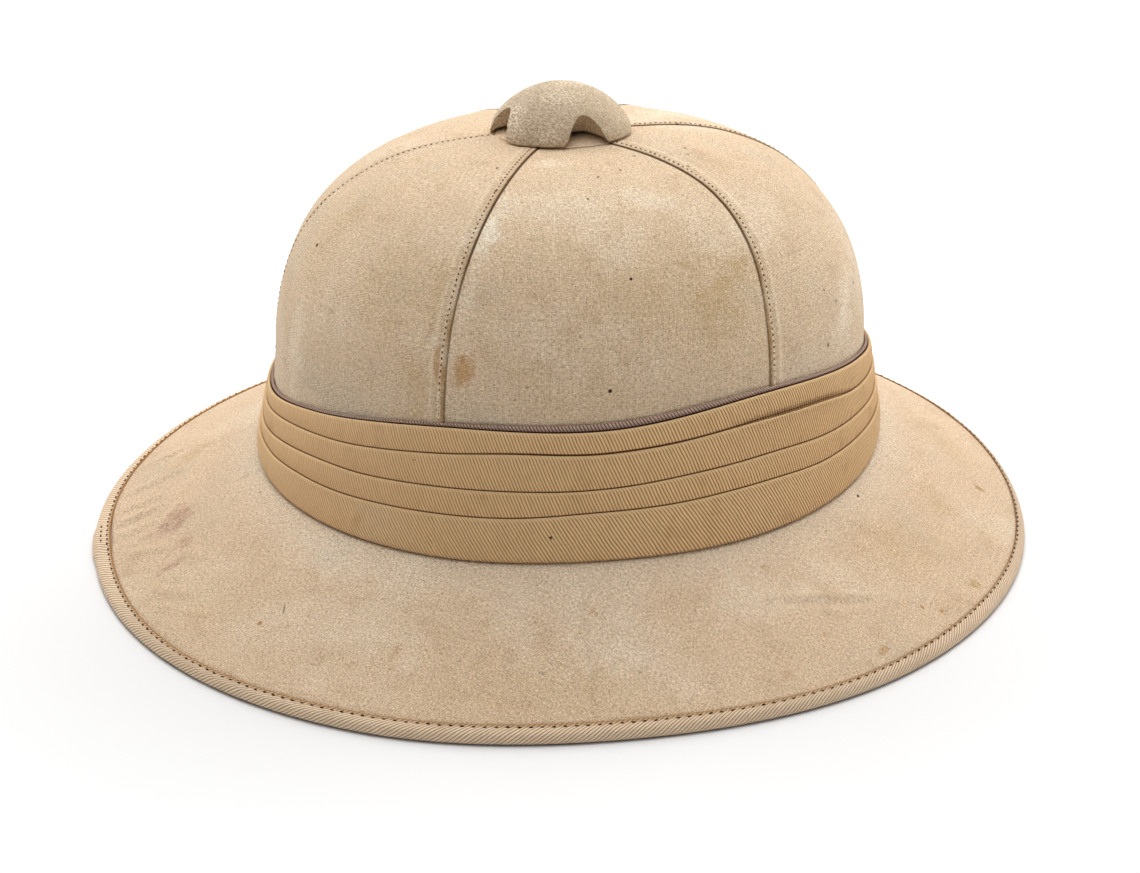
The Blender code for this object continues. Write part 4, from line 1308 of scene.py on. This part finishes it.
def pressedOn(points, normals, pieces, lift):
    # the points moved along their normals onto the pieces they are sewn to
    trees = searchTrees(pieces)
    reach = stitching["search"]
    placed = []
    for point, normal in zip(points, normals):
        way = Vector(normal)
        start = Vector(point) + way * reach
        hits = [tree.ray_cast(start, -way, 2 * reach) for tree in trees]
        far = min([hit[3] for hit in hits if hit[0] is not None], default=reach)
        placed.append(start - way * far + way * lift)
    return np.array([tuple(point) for point in placed])


def makeStitches(gores, tape):
    tree = stitchTree()
    paths = []
    reach = np.linspace(stitching["seamFrom"], 1.0, stitching["seamPoints"])
    for seam in range(6):
        shift = np.degrees(seamLaps[seam] * crown["stitchFrom"] / (reach * 0.1))
        turn = seamTurn(seam, reach) + shift
        points = crownPoint(turn, reach)
        normals = unit(np.cross(crownPoint(turn + 0.5, reach) - points, crownPoint(turn, reach - 0.004) - points))
        normals *= np.sign(np.sum(normals * (points - np.array((0, 0, 0.04))), axis=-1, keepdims=True))
        paths.append((pressedOn(points, normals, gores, stitching["seamLift"]), normals, False))
    thread = threadFinish("seamThread", threadColours["seamThread"])
    stitchRow("seam_stitches", paths, tree, dict(seamThread, Material=thread))
    turn = roundTurns(stitching["rimPoints"])
    first, last, inward, count = binding["shortRow"]
    rows = [(turn, roundValue(binding["stitch"], turn), True),
            (np.linspace(first, last, count), np.full(count, inward), False)]
    paths = []
    for turn, inward, closed in rows:
        points = brimPoint(turn, inward)
        normals = unit(np.cross(brimPoint(turn, inward + 0.001) - points, np.gradient(points, axis=0)))
        normals *= np.sign(normals[:, 2:])
        paths.append((pressedOn(points, normals, [tape], stitching["rimLift"]), normals, closed))
    thread = threadFinish("rimThread", threadColours["rimThread"])
    stitchRow("rim_stitches", paths, tree, dict(rimThread, Material=thread))


def main():
    makeCamera()
    makeStudio()
    bpy.context.view_layer.update()
    print("camera, floor and light made")
    for makeGroup in (plainWeaveGroup, twillGroup, mottleGroup, spotGroup):
        makeGroup()
    waiting = plainFinish("waiting", (0.6, 0.5, 0.4, 1))
    gores = makeCrown(waiting)
    cover = makeBrim(waiting)
    print("crown and brim cloth made")
    pleats, strip = makeBand(waiting)
    tape = makeBinding(waiting)
    print("band and rim tape made")
    makeCap(capFinish())
    seatPiece = makeSeat(waiting)
    makeStitches(gores, tape)
    print("ventilator and stitches made")
    drillCloth("crownDrill", drill["crown"], crownMarks, gores + [seatPiece])
    drillCloth("brimDrill", drill["brim"], brimMarks, [cover], True)
    twillCloth("bandTwill", bandLook, bandMarks, pleats[:3])
    twillCloth("bandTwillLow", lowLook, {"hole": bandMarks["hole"]}, pleats[3:])
    twillCloth("stripTwill", stripLook, {}, [strip])
    twillCloth("tapeTwill", tapeLook, {}, [tape])
    pith = pithFinish()
    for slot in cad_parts["shell"].material_slots:
        slot.material = pith
    print("materials made")


main()
